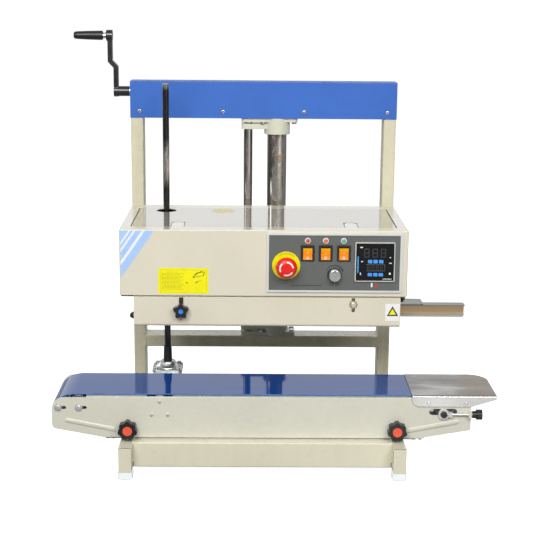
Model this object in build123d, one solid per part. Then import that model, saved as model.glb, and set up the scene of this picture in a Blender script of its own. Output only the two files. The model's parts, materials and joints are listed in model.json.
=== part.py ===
from build123d import *
import math
import os

# Continuous band sealer on a welded stand: a sealing head that a hand crank raises and
# lowers on a column, over a belt conveyor that carries the filled bags.
# Millimetres. X runs along the conveyor, Y from the front to the back, Z up.
# Dimensions are given from the head's front face (Y 0) and middle (X 0), and the whole
# is then moved so that the origin is the middle of the footprint, on the floor.

# ---------------------------------------------------------------- driving dimensions
X_LEFT, X_RIGHT = -408.0, 453.0        # conveyor left end, infeed plate tip
Y_FRONT, Y_REAR = -55.0, 375.0         # leg ends
X0, Y0 = (X_LEFT + X_RIGHT) / 2, (Y_FRONT + Y_REAR) / 2

# stand
FOOT_H = 14.5
TUBE_W, TUBE_H, WALL = 25.0, 50.0, 1.5
LEG_X = 275.0                          # outer side of the legs and uprights
LEG_TOP = FOOT_H + TUBE_H
UP_Y0, UP_Y1 = 301.0, 351.0
UP_TOP = 729.8
BEAM_LO = 163.5                        # lower cross beam, underside
BEAM_HI = 656.0                        # top cross beam, underside
COVER_T = 1.2

# column, rod and lead screw
COL_X, ROD_X, COL_Y = 28.5, -32.0, 326.0
COL_R, COL_BORE, ROD_R = 20.0, 14.0, 9.0
SCREW_R = 8.0
CRANK_Z = 708.6
CRANK_THROW = 114.0
MITRE_Z, MITRE_M = 16, 1.75

# head
HEAD_X, HEAD_D = 272.5, 276.5
HEAD_Z0, HEAD_Z1 = 351.0, 478.0
SHEET = 1.5
LID_X, LID_Y0, LID_Y1 = 253.5, 30.0, 240.0
BAG_Y = 75.0                           # plane in which the bag mouth travels
GEAR_M = 1.5
GEAR_X = -196.5
FRONT_AXIS_Y, REAR_AXIS_Y = 46.5, 103.5
MOTOR_X, MOTOR_Y = -191.38, 155.75
KEY_X, KEY_Y, KEY_R = -196.5, 208.0, 6.5
IDLER_X = 196.0
WHEEL_R = 27.9
BAND_Z0, BAND_Z1 = 303.0, 318.0

# conveyor
BELT_TOP, BELT_T = 153.0, 2.0
BELT_Y0, BELT_Y1 = 8.0, 142.0
PLATE_TOP, PLATE_LOW = 147.8, 67.0
CONV_D = 150.0
END_AX, END_R = (-395.5, 127.0), 10.0
SEC_AX, SEC_R = (-355.7, 127.0), 24.0
DRUM_AX, DRUM_R = (-199.6, 123.0), 28.0
TEN_AX, TEN_R = (350.8, 121.5), 29.5
CLEAR = 0.3                            # belt to roller
CLAMP_X, CLAMP_Z = 260.0, 87.5
TEN_Z = 118.0                          # centre line of the tension screw
RISE_X = -363.0                        # where the belt's rising curve meets its level top run
RISE_R = 1588.25 / 28                  # outer radius of that curve, tangent to the end roller's wrap

OUT = {}


def bx(x0, x1, y0, y1, z0, z1):
    return Pos((x0 + x1) / 2, (y0 + y1) / 2, (z0 + z1) / 2) * Box(x1 - x0, y1 - y0, z1 - z0)


def cz(x, y, z0, z1, r):
    return Pos(x, y, (z0 + z1) / 2) * Cylinder(r, z1 - z0)


def cx(x0, x1, y, z, r):
    return Pos((x0 + x1) / 2, y, z) * Rot(0, 90, 0) * Cylinder(r, x1 - x0)


def cy(x, z, y0, y1, r):
    return Pos(x, (y0 + y1) / 2, z) * Rot(90, 0, 0) * Cylinder(r, y1 - y0)


def face_of(points):
    w = Wire.make_polygon([Vector(*p) for p in points], close=True)
    return Face(w)


def pr_y(pts, y0, y1):
    return Solid.extrude(face_of([(p[0], y0, p[1]) for p in pts]), Vector(0, y1 - y0, 0))


def pr_x(pts, x0, x1):
    return Solid.extrude(face_of([(x0, p[0], p[1]) for p in pts]), Vector(x1 - x0, 0, 0))


def pr_z(pts, z0, z1):
    return Solid.extrude(face_of([(p[0], p[1], z0) for p in pts]), Vector(0, 0, z1 - z0))


def rbox(x0, x1, y0, y1, z0, z1, r, axis="Z"):
    """Box with the four edges along one axis rounded."""
    b = bx(x0, x1, y0, y1, z0, z1)
    ax = {"X": Axis.X, "Y": Axis.Y, "Z": Axis.Z}[axis]
    return fillet(b.edges().filter_by(ax), r)


def rev_z(profile):
    """Solid of revolution about Z from (r, z) points."""
    f = face_of([(p[0], 0, p[1]) for p in profile])
    return Solid.revolve(f, 360, Axis.Z)


def put(name, *parts):
    flat = []
    for p in parts:
        for s in p.solids():
            flat.append(s)
    OUT[name] = flat


def arc_pts(cx_, cz_, r, a0, a1, n):
    return [(cx_ + r * math.cos(math.radians(a0 + (a1 - a0) * i / n)),
             cz_ + r * math.sin(math.radians(a0 + (a1 - a0) * i / n))) for i in range(n + 1)]


# ---------------------------------------------------------------- gears
def spur(x, y, z0, z1, teeth, m, phase, bore, hub_r=None, hub_z=None, backlash=0.30):
    """Spur gear with straight-flanked teeth. phase is the direction of one tooth, degrees."""
    rp = m * teeth / 2
    ra, rf = rp + 0.9 * m, rp - 1.15 * m
    half_p = (math.pi * m / 2 - backlash) / 2
    t20 = math.tan(math.radians(20))
    half = [(rf, half_p + (rp - rf) * t20 * 0.85), (rp, half_p), (ra, half_p - (ra - rp) * t20 * 1.18)]
    pts = []
    for i in range(teeth):
        a = math.radians(phase) + 2 * math.pi * i / teeth
        for r, h in half:
            pts.append((r, a - h / r))
        for r, h in reversed(half):
            pts.append((r, a + h / r))
    g = pr_z([(x + r * math.cos(a), y + r * math.sin(a)) for r, a in pts], z0, z1)
    if hub_r:
        g = g + cz(x, y, hub_z[0], hub_z[1], hub_r)
    return g - cz(x, y, min(z0, hub_z[0] if hub_z else z0) - 1, max(z1, hub_z[1] if hub_z else z1) + 1, bore)


def mitre(bore, hub_r, hub_len, phase):
    """Mitre bevel gear, apex of its pitch cone at the origin, gear below it on -Z."""
    rp = MITRE_M * MITRE_Z / 2
    q = 1 / math.sqrt(2)
    L = rp / q
    k = (L - 6.0) / L
    ha, hf = 1.25, 1.9
    wp = math.pi * MITRE_M / 4 * 0.80
    root = (rp - hf * q, -rp - hf * q)
    blank = rev_z([(bore, -rp - hub_len), (hub_r, -rp - hub_len), (hub_r, root[1]),
                   (root[0], root[1]), (root[0] * k, root[1] * k), (bore, root[1] * k)])
    teeth = []
    sec = [(-hf - 0.4, wp + 0.45), (0, wp), (ha, wp - ha * 0.50)]
    prof = [(s, -w) for s, w in sec] + [(s, w) for s, w in reversed(sec)]
    for i in range(MITRE_Z):
        a = math.radians(phase + 360.0 * i / MITRE_Z)
        ca, sa = math.cos(a), math.sin(a)
        big = [((rp + s * q) * ca - t * sa, (rp + s * q) * sa + t * ca, -rp + s * q) for s, t in prof]
        small = [(p[0] * k, p[1] * k, p[2] * k) for p in big]
        teeth.append(Solid.make_loft([Wire.make_polygon([Vector(*p) for p in big], close=True),
                                      Wire.make_polygon([Vector(*p) for p in small], close=True)], True))
    g = blank
    for t in teeth:
        g = g + t
    return g


# ================================================================ STAND (fixed)
legs = []
for s in (-1, 1):
    xa, xb = sorted((s * LEG_X, s * (LEG_X - TUBE_W)))
    tube = rbox(xa, xb, Y_FRONT + 2, Y_REAR - 2, FOOT_H, LEG_TOP, 2.5, "Y")
    tube = tube - bx(xa + WALL, xb - WALL, Y_FRONT, Y_REAR, FOOT_H + WALL, LEG_TOP - WALL)
    legs.append(tube)
    for ya, yb in ((Y_FRONT, Y_FRONT + 2), (Y_REAR - 2, Y_REAR)):
        legs.append(rbox(xa, xb, ya, yb, FOOT_H, LEG_TOP, 2.5, "Y"))
FB_Y0, FB_Y1 = -22.0, 3.0
fb = rbox(-LEG_X + TUBE_W, LEG_X - TUBE_W, FB_Y0, FB_Y1, FOOT_H, LEG_TOP, 2.5, "X")
fb = fb - bx(-300, 300, FB_Y0 + WALL, FB_Y1 - WALL, FOOT_H + WALL, LEG_TOP - WALL)
put("base_frame", *legs, fb)

feet = []
for s in (-1, 1):
    for yc in (Y_FRONT + 14, Y_REAR - 14):
        xc = s * (LEG_X - TUBE_W / 2)
        f = rbox(xc - 14.3, xc + 14.3, yc - 14.3, yc + 14.3, 0, FOOT_H, 6, "Z")
        f = fillet(f.edges().group_by(Axis.Z)[0], 3.0)
        feet.append(f)
put("feet", *feet)

uprights = []
for s in (-1, 1):
    xa, xb = sorted((s * LEG_X, s * (LEG_X - TUBE_W)))
    u = bx(xa, xb, UP_Y0, UP_Y1, LEG_TOP, UP_TOP)
    u = fillet(u.edges().filter_by(Axis.Z), 2.5)
    u = u - bx(xa + WALL, xb - WALL, UP_Y0 + WALL, UP_Y1 - WALL, LEG_TOP - 1, UP_TOP + 1)
    if s < 0:
        u = u - cx(xa - 5, xb + 5, COL_Y, CRANK_Z, 8.0)
    u = u - cy(s * 257.0, 670.0, UP_Y0 - 1, UP_Y0 + 3, 2.0)
    uprights.append(u)
lower = bx(-LEG_X + TUBE_W, LEG_X - TUBE_W, UP_Y0, UP_Y1, BEAM_LO, BEAM_LO + TUBE_W)
lower = fillet(lower.edges().filter_by(Axis.X), 2.5)
lower = lower - bx(-300, 300, UP_Y0 + WALL, UP_Y1 - WALL, BEAM_LO + WALL, BEAM_LO + TUBE_W - WALL)
top = bx(-LEG_X + TUBE_W, LEG_X - TUBE_W, UP_Y0, UP_Y1, BEAM_HI, BEAM_HI + TUBE_W)
top = top - bx(-300, 300, UP_Y0 + WALL, UP_Y1 - WALL, BEAM_HI + WALL, BEAM_HI + TUBE_W - WALL)
top = top - cz(COL_X, COL_Y, BEAM_HI - 1, BEAM_HI + TUBE_W + 1, 12.0)
for xs in (-84.0, 84.0):
    top = top - cy(xs, 670.0, UP_Y0 - 1, UP_Y0 + 3, 2.0)
BOLTS = [(64.0, 314.0), (64.0, 338.0), (-2.0, 309.0), (-2.0, 343.0)]
for bxx, byy in BOLTS:
    top = top - cz(bxx, byy, BEAM_HI - 1, BEAM_HI + 3, 3.0)
    lower = lower - cz(bxx, byy, BEAM_LO + TUBE_W - 3, BEAM_LO + TUBE_W + 1, 3.0)
put("upright_frame", *uprights, lower, top)

cv = bx(-LEG_X - COVER_T, LEG_X + COVER_T, UP_Y0 - COVER_T, UP_Y1 + COVER_T, BEAM_HI, UP_TOP + COVER_T)
cv = fillet(cv.edges().filter_by(Axis.X).group_by(Axis.Z)[-1], 2.0)
cv = cv - bx(-LEG_X, LEG_X, UP_Y0, UP_Y1, BEAM_HI - 1, UP_TOP)
cv = cv - cx(-LEG_X - 5, -LEG_X + 1, COL_Y, CRANK_Z, 8.0)
screws = []
for xs in (-257.0, -84.0, 84.0, 257.0):
    cv = cv - cy(xs, 670.0, UP_Y0 - 4, UP_Y0 + 1, 2.0)
    yh = UP_Y0 - COVER_T
    head = cy(xs, 670.0, yh - 2.4, yh, 4.2)
    head = fillet(head.edges().group_by(Axis.Y)[0], 1.6)
    head = head - bx(xs - 3, xs + 3, yh - 3, yh - 1.5, 669.5, 670.5) - bx(xs - 0.5, xs + 0.5, yh - 3, yh - 1.5, 667, 673)
    screws.append(head + cy(xs, 670.0, yh - 0.5, UP_Y0 + 6, 2.0))
put("beam_cover", cv)
for bxx, byy in BOLTS:
    for zt, sg in ((BEAM_HI - 8.0, -1), (BEAM_LO + TUBE_W + 8.0, 1)):
        z0, z1 = sorted((zt, zt + sg * 4.0))
        h = cz(bxx, byy, z0, z1, 5.0)
        z2, z3 = sorted((zt, zt - sg * 14.0))
        screws.append(h + cz(bxx, byy, min(z0, z2), max(z1, z3), 3.0))
put("frame_screws", *screws)

# the conveyor's brackets: a yoke on each leg, slotted upright for the clamp studs
brk = []
for s in (-1, 1):
    xc = s * CLAMP_X
    base = bx(xc - 12.5, xc + 12.5, 2.2, 147.8, LEG_TOP, LEG_TOP + 3)
    for ya, yb in ((2.2, 5.2), (144.8, 147.8)):
        up = bx(xc - 12.5, xc + 12.5, ya, yb, LEG_TOP, 140.0)
        up = fillet(up.edges().filter_by(Axis.Y).group_by(Axis.Z)[-1], 6)
        up = up - bx(xc - 4.3, xc + 4.3, ya - 1, yb + 1, CLAMP_Z - 0.5, CLAMP_Z + 40.5)
        up = up - cy(xc, CLAMP_Z - 0.5, ya - 1, yb + 1, 4.3) - cy(xc, CLAMP_Z + 40.5, ya - 1, yb + 1, 4.3)
        base = base + up
    brk.append(base)
put("conveyor_brackets", *brk)

# hollow column with a slot down its back for the lift nut, and the plain guide rod
col = cz(COL_X, COL_Y, BEAM_LO + TUBE_W, BEAM_HI, COL_R)
col = col - cz(COL_X, COL_Y, BEAM_LO + TUBE_W - 1, BEAM_HI + 1, COL_BORE)
col = col - bx(COL_X - 5, COL_X + 5, COL_Y, COL_Y + COL_R + 1, 240.0, 612.0)
put("guide_columns", col, cz(ROD_X, COL_Y, BEAM_LO + TUBE_W, BEAM_HI, ROD_R))

# split clamp castings that hold the column and rod under the top beam and over the lower one
cast = []
for zt, sg in ((BEAM_HI, -1), (BEAM_LO + TUBE_W, 1)):
    def zz(a, b):
        return tuple(sorted((zt + sg * a, zt + sg * b)))
    pl = rbox(ROD_X - 14, 71.0, 304.0, 348.0, *zz(0, 8), 8)
    arm = rbox(ROD_X - 14, COL_X - 10, 309.0, 343.0, *zz(12, 23), 7)
    boss = cz(COL_X, COL_Y, *zz(0, 34), 27.0)
    boss = fillet(boss.edges().group_by(Axis.Z)[0 if sg < 0 else -1], 2.0)
    web = bx(-8.0, 10.0, 316.0, 336.0, *zz(7, 13))
    c = pl + arm + boss + web
    c = c - cz(COL_X, COL_Y, zt - 40, zt + 40, COL_R) - cz(ROD_X, COL_Y, zt - 40, zt + 40, ROD_R)
    for bxx, byy in BOLTS:
        c = c - cz(bxx, byy, *zz(-1, 9), 3.0)
        c = c - cz(bxx, byy, *zz(8, 12.2), 5.2)
    cast.append(c)
put("column_castings", *cast)

# lead screw in the column, its bearings, and the mitre pair under the blue cover
APEX = (COL_X, COL_Y, CRANK_Z)
RP = MITRE_M * MITRE_Z / 2
HUB = 5.0
gear_a = Pos(*APEX) * mitre(6.0, 9.0, HUB, 0.0)
screw = cz(COL_X, COL_Y, 226.0, 655.0, SCREW_R) + cz(COL_X, COL_Y, 655.0, CRANK_Z - 9.8, 6.0)
put("lead_screw", screw, gear_a)
bt = BEAM_HI + TUBE_W
brg = rbox(COL_X - 20, COL_X + 20, COL_Y - 20, COL_Y + 20, bt, CRANK_Z - RP - HUB - 0.05, 4) \
    + cz(COL_X, COL_Y, BEAM_HI + 0.5, bt, 12.0)
brg = brg - cz(COL_X, COL_Y, BEAM_HI - 1, bt + 20, 6.05)
low = cz(COL_X, COL_Y, 222.0, 238.0, COL_BORE) - cz(COL_X, COL_Y, 225.95, 239, SCREW_R + 0.05)
pil = bx(-14.0, -2.0, COL_Y - 16, COL_Y + 16, bt, bt + 14) + cx(-14.0, -2.0, COL_Y, CRANK_Z, 13.0) \
    + bx(-14.0, -2.0, COL_Y - 13, COL_Y + 13, bt, CRANK_Z)
pil = pil - cx(-20, 5, COL_Y, CRANK_Z, 6.05)
bush = cx(-279.0, -249.0, COL_Y, CRANK_Z, 8.0) + cx(-279.0, -LEG_X - COVER_T, COL_Y, CRANK_Z, 11.0)
bush = bush - cx(-290, -240, COL_Y, CRANK_Z, 6.05)
put("lift_bearings", brg, low, pil, bush)

# crank
gear_b = Pos(*APEX) * Rot(0, 90, 0) * mitre(6.0, 9.0, HUB, 180.0 / MITRE_Z)
put("crank_shaft", cx(-308.5, COL_X - 9.8, COL_Y, CRANK_Z, 6.0), gear_b)
ZT = CRANK_Z + CRANK_THROW
arm = pr_y([(-311.5, CRANK_Z - 4), (-311.5, 757.0), (-323.0, 769.0), (-323.0, ZT + 4),
            (-313.5, ZT + 4), (-313.5, 773.0), (-302.0, 761.0), (-302.0, CRANK_Z - 4)], COL_Y - 8.5, COL_Y + 8.5)
arm = fillet(arm.edges().filter_by(Axis.Y).sort_by(Axis.Z)[2:6], 3.0)
arm = arm + cx(-310.5, -279.2, COL_Y, CRANK_Z, 10.5) + cx(-311.5, -302.0, COL_Y, CRANK_Z, 11.5)
tb = cx(-326.0, -313.0, COL_Y, ZT, 11.5)
tb = fillet(tb.edges().filter_by(GeomType.CIRCLE).group_by(Axis.X)[0], 2.0)
arm = arm + tb
arm = arm - cx(-308.5, -270, COL_Y, CRANK_Z, 6.0)
arm = arm - cx(-330, -300, COL_Y, ZT, 4.0)
pin = cx(-390.0, -313.0, COL_Y, ZT, 4.0) + cx(-332.3, -326.0, COL_Y, ZT, 6.0)
put("crank_arm", arm, pin)
grip = Solid.revolve(face_of([(4.15, 0, 0), (8.6, 0, 0), (9.5, 0, 1.5), (9.5, 0, 8), (9.0, 0, 30), (8.0, 0, 52),
                              (7.4, 0, 57), (5.6, 0, 60), (3.0, 0, 60.2), (3.0, 0, 58.2), (4.15, 0, 58.2)]), 360, Axis.Z)
put("crank_grip", Pos(-332.6, COL_Y, ZT) * Rot(0, -90, 0) * grip)

# ================================================================ HEAD
GK_Z, GS_Z = 322.5, 334.5             # guard knob and guard screw
CH0 = 348.0                            # underside of the chassis plate
HX = HEAD_X - 1.6
ch = bx(-HX, HX, 6.2, HEAD_D - 1.6, CH0, HEAD_Z0)
SHAFTS = [(GEAR_X, FRONT_AXIS_Y), (GEAR_X, REAR_AXIS_Y)]
for x, y in SHAFTS:
    ch = ch - cz(x, y, CH0 - 1, HEAD_Z0 + 1, 6.05)
ch = ch - cz(KEY_X, KEY_Y, CH0 - 1, HEAD_Z0 + 1, 14.05)
tabs = []
for x, hole, zc in ((-156.5, 3.05, GK_Z), (171.0, 2.5, GS_Z)):
    t = bx(x - 9, x + 9, 6.2, 9.2, zc - 10, CH0)
    t = t - cy(x, zc, 5, 11, hole)
    ch = ch + t
studs = []
for y in (FRONT_AXIS_Y, REAR_AXIS_Y):
    studs.append(cz(IDLER_X, y, 299.5, CH0, 5.0))
    # retaining collar under each idler
    studs[-1] = studs[-1] + cz(IDLER_X, y, 297.5, 300.3, 8.0)
put("chassis_plate", ch, *studs)

shell = bx(-HEAD_X, HEAD_X, 0, HEAD_D, HEAD_Z0, HEAD_Z1)
shell = fillet(shell.edges().filter_by(Axis.Z), 2.5)
shell = fillet(shell.edges().filter_by(Axis.X).group_by(Axis.Z)[-1] + shell.edges().filter_by(Axis.Y).group_by(Axis.Z)[-1], 2.0)
shell = shell - bx(-HEAD_X + SHEET, HEAD_X - SHEET, SHEET, HEAD_D - SHEET, HEAD_Z0 - 1, HEAD_Z1 - SHEET)
shell = shell - bx(-LID_X, LID_X, LID_Y0, LID_Y1, HEAD_Z1 - SHEET - 1, HEAD_Z1 + 1)
ledge = bx(-LID_X - 8, LID_X + 8, LID_Y0 - 8, LID_Y1 + 8, HEAD_Z1 - 2 * SHEET, HEAD_Z1 - SHEET) \
    - bx(-LID_X + 8, LID_X - 8, LID_Y0 + 8, LID_Y1 - 8, HEAD_Z1 - 4, HEAD_Z1)
NOTCH = (-164.5, 167.0)
NW, ND = 13.0, 52.0                    # half width and depth of the lid's two notches
shell = shell + ledge
for x in NOTCH:
    # locating tongue: round-ended, fills the lid's square-ended notch with a small gap
    shell = shell + bx(x - NW + 0.9, x + NW - 0.9, LID_Y0 - 2, LID_Y0 + ND - NW, HEAD_Z1 - SHEET, HEAD_Z1) \
        + cz(x, LID_Y0 + ND - NW, HEAD_Z1 - SHEET, HEAD_Z1, NW - 0.9)
# cut-outs behind the control panel, and the panel's own holes
PX0, PX1, PZ0, PZ1 = 5.5, 260.8, 359.2, 473.2
ES = (42.1, 411.0)
ROCK = [(82.4, 435.2), (116.2, 435.2), (150.5, 435.2)]
LEDS = [(82.4, 459.0), (116.2, 459.0), (150.0, 459.0)]
SPD = (133.6, 394.2)
CTL = (171.5, 247.5, 381.0, 457.0)
shell = shell - cy(ES[0], ES[1], -1, 3, 11.2)
for x, z in ROCK:
    shell = shell - bx(x - 11.1, x + 11.1, -1, 3, z - 14.1, z + 14.1)
shell = shell - cy(SPD[0], SPD[1], -1, 3, 4.0)
shell = shell - bx(CTL[0] + 3.5, CTL[1] - 3.5, -1, 3, CTL[2] + 3.5, CTL[3] - 3.5)
put("head_shell", shell)

# lid: rests in the shell's opening, a hole for the key shaft, two finger notches in front
G = 2.0
lid = bx(-LID_X + G, LID_X - G, LID_Y0 + 0.8, LID_Y1 - 0.8, HEAD_Z1 - SHEET, HEAD_Z1)
lid = lid - cz(KEY_X, KEY_Y, HEAD_Z1 - 5, HEAD_Z1 + 5, 20.0)
for x in NOTCH:
    lid = lid - rbox(x - NW, x + NW, LID_Y0 - 12, LID_Y0 + ND, HEAD_Z1 - 5, HEAD_Z1 + 5, 3.0)
put("top_lid", lid)

# carriage: bushed block behind the head, with the lift nut's tongue through the column's slot
CZ0, CZ1 = 366.0, 434.0
car = rbox(ROD_X - 22, COL_X + 38, HEAD_D, 357.0, CZ0, CZ1, 6)
car = car - cz(COL_X, COL_Y, CZ0 - 1, CZ1 + 1, COL_R + 0.05) - cz(ROD_X, COL_Y, CZ0 - 1, CZ1 + 1, ROD_R + 0.05)
tongue = bx(COL_X - 4, COL_X + 4, COL_Y + 8, COL_Y + COL_R + 2, 388.0, 412.0)
nut = cz(COL_X, COL_Y, 385.0, 415.0, 13.0) + tongue
nut = nut - cz(COL_X, COL_Y, 384.0, 416.0, SCREW_R + 0.05)
car = car - tongue
put("carriage", car, nut)

# front guard: folded channel in front of the sealing mechanism
GX0, GX1, GY, GZ0, GZ1 = -247.0, 261.0, 3.5, 289.5, 347.6
g = bx(GX0, GX1, GY, 38.0, GZ0, GZ1)
g = fillet(g.edges().filter_by(Axis.X).group_by(Axis.Z)[0].sort_by(Axis.Y)[0:1], 6.0)
inner = bx(GX0 + SHEET, GX1 - SHEET, GY + SHEET, 60, GZ0 + SHEET, GZ1 + 5)
inner = fillet(inner.edges().filter_by(Axis.X).group_by(Axis.Z)[0].sort_by(Axis.Y)[0:1], 4.5)
g = g - inner
g = g - bx(-156.5 - 4.2, -156.5 + 4.2, GY - 1, GY + 3, 318.0, GZ1 + 5) - cy(-156.5, 318.0, GY - 1, GY + 3, 4.2)
g = g - bx(171.0 - 3.1, 171.0 + 3.1, GY - 1, GY + 3, 322.0, GZ1 + 5) - cy(171.0, 322.0, GY - 1, GY + 3, 3.1)
g = g - bx(GX1 - SHEET - 1, GX1 + 1, 12.0, 60, GZ0 - 1, GZ1 + 5)
side_knob = Pos(GX0, 20.0, 307.0) * Rot(0, -90, 0) * rev_z([(0, 0), (7.0, 0), (7.0, 3.0), (3.6, 8.5), (0, 9.0)])
put("front_guard", g, side_knob)

# five-lobed knob that clamps the guard
kb = []
star = []
for i in range(5):
    a0 = 90 + 72 * i
    for da, r in ((-14, 13.4), (-7, 14.6), (0, 15.0), (7, 14.6), (14, 13.4), (36, 10.2)):
        a = math.radians(a0 + da)
        star.append((-156.5 + r * math.cos(a), GK_Z + r * math.sin(a)))
kn = pr_y(star, -13.0, 0.0) + cy(-156.5, GK_Z, 0.0, GY - 0.2, 7.0)
stud = cy(-156.5, GK_Z, -6.0, 14.0, 3.0)
kn = kn - stud - cy(-156.5, GK_Z, -13.5, -12.0, 4.5)
cap = cy(-156.5, GK_Z, -13.4, -12.0, 4.5)
put("guard_knob", kn, stud, cap)

# control panel: silver frame with the grey plate in it, and the parts on it
fr = rbox(PX0, PX1, -3.2, 0, PZ0, PZ1, 3.0, "Y") - bx(PX0 + 4, PX1 - 4, -4, 1, PZ0 + 4, PZ1 - 4)
pan = bx(PX0 + 4, PX1 - 4, -2.0, 0, PZ0 + 4, PZ1 - 4)
pan = pan - cy(ES[0], ES[1], -3, 1, 11.2)
for x, z in ROCK:
    pan = pan - bx(x - 11.1, x + 11.1, -3, 1, z - 14.1, z + 14.1)
for x, z in LEDS:
    pan = pan - cy(x, z, -3, 1, 4.0)
pan = pan - cy(SPD[0], SPD[1], -3, 1, 4.0)
pan = pan - bx(CTL[0] + 3.5, CTL[1] - 3.5, -3, 1, CTL[2] + 3.5, CTL[3] - 3.5)
lamps = []
for x, z in LEDS:
    lm = cy(x, z, -4.6, 0, 4.0)
    lamps.append(fillet(lm.edges().group_by(Axis.Y)[0], 1.8))
put("control_panel", pan, fr, *lamps)
ring = cy(ES[0], ES[1], -4.5, -2.0, 26.6)
ring = fillet(ring.edges().group_by(Axis.Y)[0], 0.8)
col_ = cy(ES[0], ES[1], -13.0, -4.5, 14.5) + cy(ES[0], ES[1], -4.6, 22.0, 11.0)
ring = (ring + col_) - cy(ES[0], ES[1], -20, 18.0, 6.1)
put("estop_housing", ring)
mush = rev_z([(0, 9.5), (0, 24.0), (7, 23.7), (13, 22.4), (17.5, 19.8), (19.6, 16.2), (20.0, 13.0), (19.4, 11.0),
              (15.2, 10.2), (15.2, 9.5)])
mush = Pos(ES[0], -11.0, ES[1]) * Rot(90, 0, 0) * mush
mush = mush + cy(ES[0], ES[1], -21.0, 10.0, 6.0)
put("estop_button", mush)
hous = []
for x, z in ROCK:
    h = rbox(x - 13.0, x + 13.0, -4.2, -2.0, z - 15.3, z + 15.3, 1.5, "Y")
    h = h + bx(x - 11.0, x + 11.0, -2.0, 24.0, z - 14.0, z + 14.0)
    h = h - bx(x - 8.9, x + 8.9, -6.0, 18.0, z - 11.9, z + 11.9)
    h = h - cx(x - 10.1, x + 10.1, 1.0, z, 2.1)
    hous.append(h)
# three-pin mains inlet on the back of the head
ix, iz = -150.0, 388.0
inl = rbox(ix - 24.0, ix + 24.0, HEAD_D, HEAD_D + 3.0, iz - 14.0, iz + 14.0, 3.0, "Y")
inl = inl + rbox(ix - 14.5, ix + 14.5, HEAD_D, HEAD_D + 5.0, iz - 11.0, iz + 11.0, 2.0, "Y")
inl = inl - bx(ix - 12.2, ix + 12.2, HEAD_D + 0.8, HEAD_D + 6.0, iz - 8.2, iz + 8.2)
for dx, dz in ((-7.0, -2.0), (0.0, 2.0), (7.0, -2.0)):
    inl = inl + bx(ix + dx - 1.0, ix + dx + 1.0, HEAD_D + 0.4, HEAD_D + 4.4, iz + dz - 2.0, iz + dz + 2.0)
for dx in (-20.0, 20.0):
    inl = inl + cy(ix + dx, iz, HEAD_D + 2.6, HEAD_D + 4.4, 2.8)
hous.append(inl)
put("switch_housings", *hous)
for i, (x, z) in enumerate(ROCK):
    # rocker: convex face, one half in and one half out
    pts = []
    for j in range(13):
        zz_ = -10.9 + 21.8 * j / 12
        pts.append((-6.4 - 2.6 * (zz_ / 10.9) ** 2 + 0.0, zz_))
    pts += [(2.0, 9.0), (6.0, 3.0), (6.0, -3.0), (2.0, -9.0)]
    rk = pr_x([(p[0] * 1.0, z + p[1]) for p in pts], x - 8.6, x + 8.6)
    rk = Pos(0, 0, 0) * rk
    rk = Rotation(0, 0, 0) * rk
    # rest at 9 degrees to one side, top half pressed
    rk = rk.rotate(Axis((x, 1.0, z), (1, 0, 0)), 9.0)
    rk = rk + cx(x - 9.9, x + 9.9, 1.0, z, 2.0)
    put("rocker_%d" % (i + 1), rk)
kn = Solid.revolve(face_of([(0, 0, -7.5), (3.9, 0, -7.5), (3.9, 0, 0.2), (13.4, 0, 0.2), (13.4, 0, 2.6), (11.4, 0, 3.2), (11.0, 0, 13.6),
                            (10.2, 0, 14.6), (0, 0, 14.6)]), 360, Axis.Z)
kn = Pos(SPD[0], -2.0, SPD[1]) * Rot(90, 0, 0) * kn
kn = kn - bx(SPD[0] - 0.6, SPD[0] + 0.6, -18, -15.9, SPD[1] + 3, SPD[1] + 11)
put("speed_knob", kn)
ct = rbox(CTL[0], CTL[1], -6.0, -2.0, CTL[2], CTL[3], 3.0, "Y") + bx(CTL[0] + 3.6, CTL[1] - 3.6, -2.0, 60.0, CTL[2] + 3.6, CTL[3] - 3.6)
ct = ct - bx(CTL[0] + 2.2, CTL[1] - 2.2, -7, -5.2, CTL[2] + 2.2, CTL[3] - 2.2)
BTN = {"upper_buttons": (416.8, 423.5), "lower_buttons": (391.8, 398.1)}
BTX = [(195.8, 204.2), (206.2, 214.5), (216.5, 225.0)]
for nm, (za, zb) in BTN.items():
    bs = []
    for xa, xb in BTX:
        ct = ct - bx(xa - 0.25, xb + 0.25, -7, -2.2, za - 0.25, zb + 0.25)
        b = rbox(xa, xb, -7.4, -4.0, za, zb, 0.8, "Y")
        bs.append(b)
    put(nm, *bs)
put("temperature_controller", ct)

# infeed guides: two flared stainless sheets hung from one bridge; the bag's mouth runs between their webs
RX0, RX1 = 232.0, 396.0
GT = 1.2                               # sheet
g_front = [(70.3, 317.1), (95.0, 317.1), (95.0, 315.9), (71.5, 315.9), (71.5, 301.86), (60.04, 296.13), (59.5, 297.2), (70.3, 302.6)]
g_rear = [(78.5, 315.9), (95.0, 315.9), (95.0, 314.7), (79.7, 314.7), (79.7, 302.6), (90.5, 297.2), (89.96, 296.13), (78.5, 301.86)]
gp = []
for prof in (g_front, g_rear):
    q_ = pr_x(prof, RX0, RX1 - 2.5)
    # rounded outer corner of the flared lip
    q_ = q_ - (bx(RX1 - 8.7, RX1, 50.0, 70.2, 295.0, 302.2) - cy(RX1 - 8.7, 302.2, 49.0, 71.0, 6.2))
    q_ = q_ - (bx(RX1 - 8.7, RX1, 79.8, 100.0, 295.0, 302.2) - cy(RX1 - 8.7, 302.2, 79.0, 101.0, 6.2))
    gp.append(q_)
# the top flange runs a little past the web
gp[0] = gp[0] + rbox(RX0 + 10, RX1, 70.3, 95.0, 315.9, 317.1, 2.0)
bridge = rbox(252.0, 314.0, 70.5, 116.0, 317.1, 319.1, 6.0)
put("infeed_guides", *gp, bridge, cz(265.0, 80.0, 319.1, CH0, 4.5), cz(265.0, 104.0, 319.1, CH0, 4.5))

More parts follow.
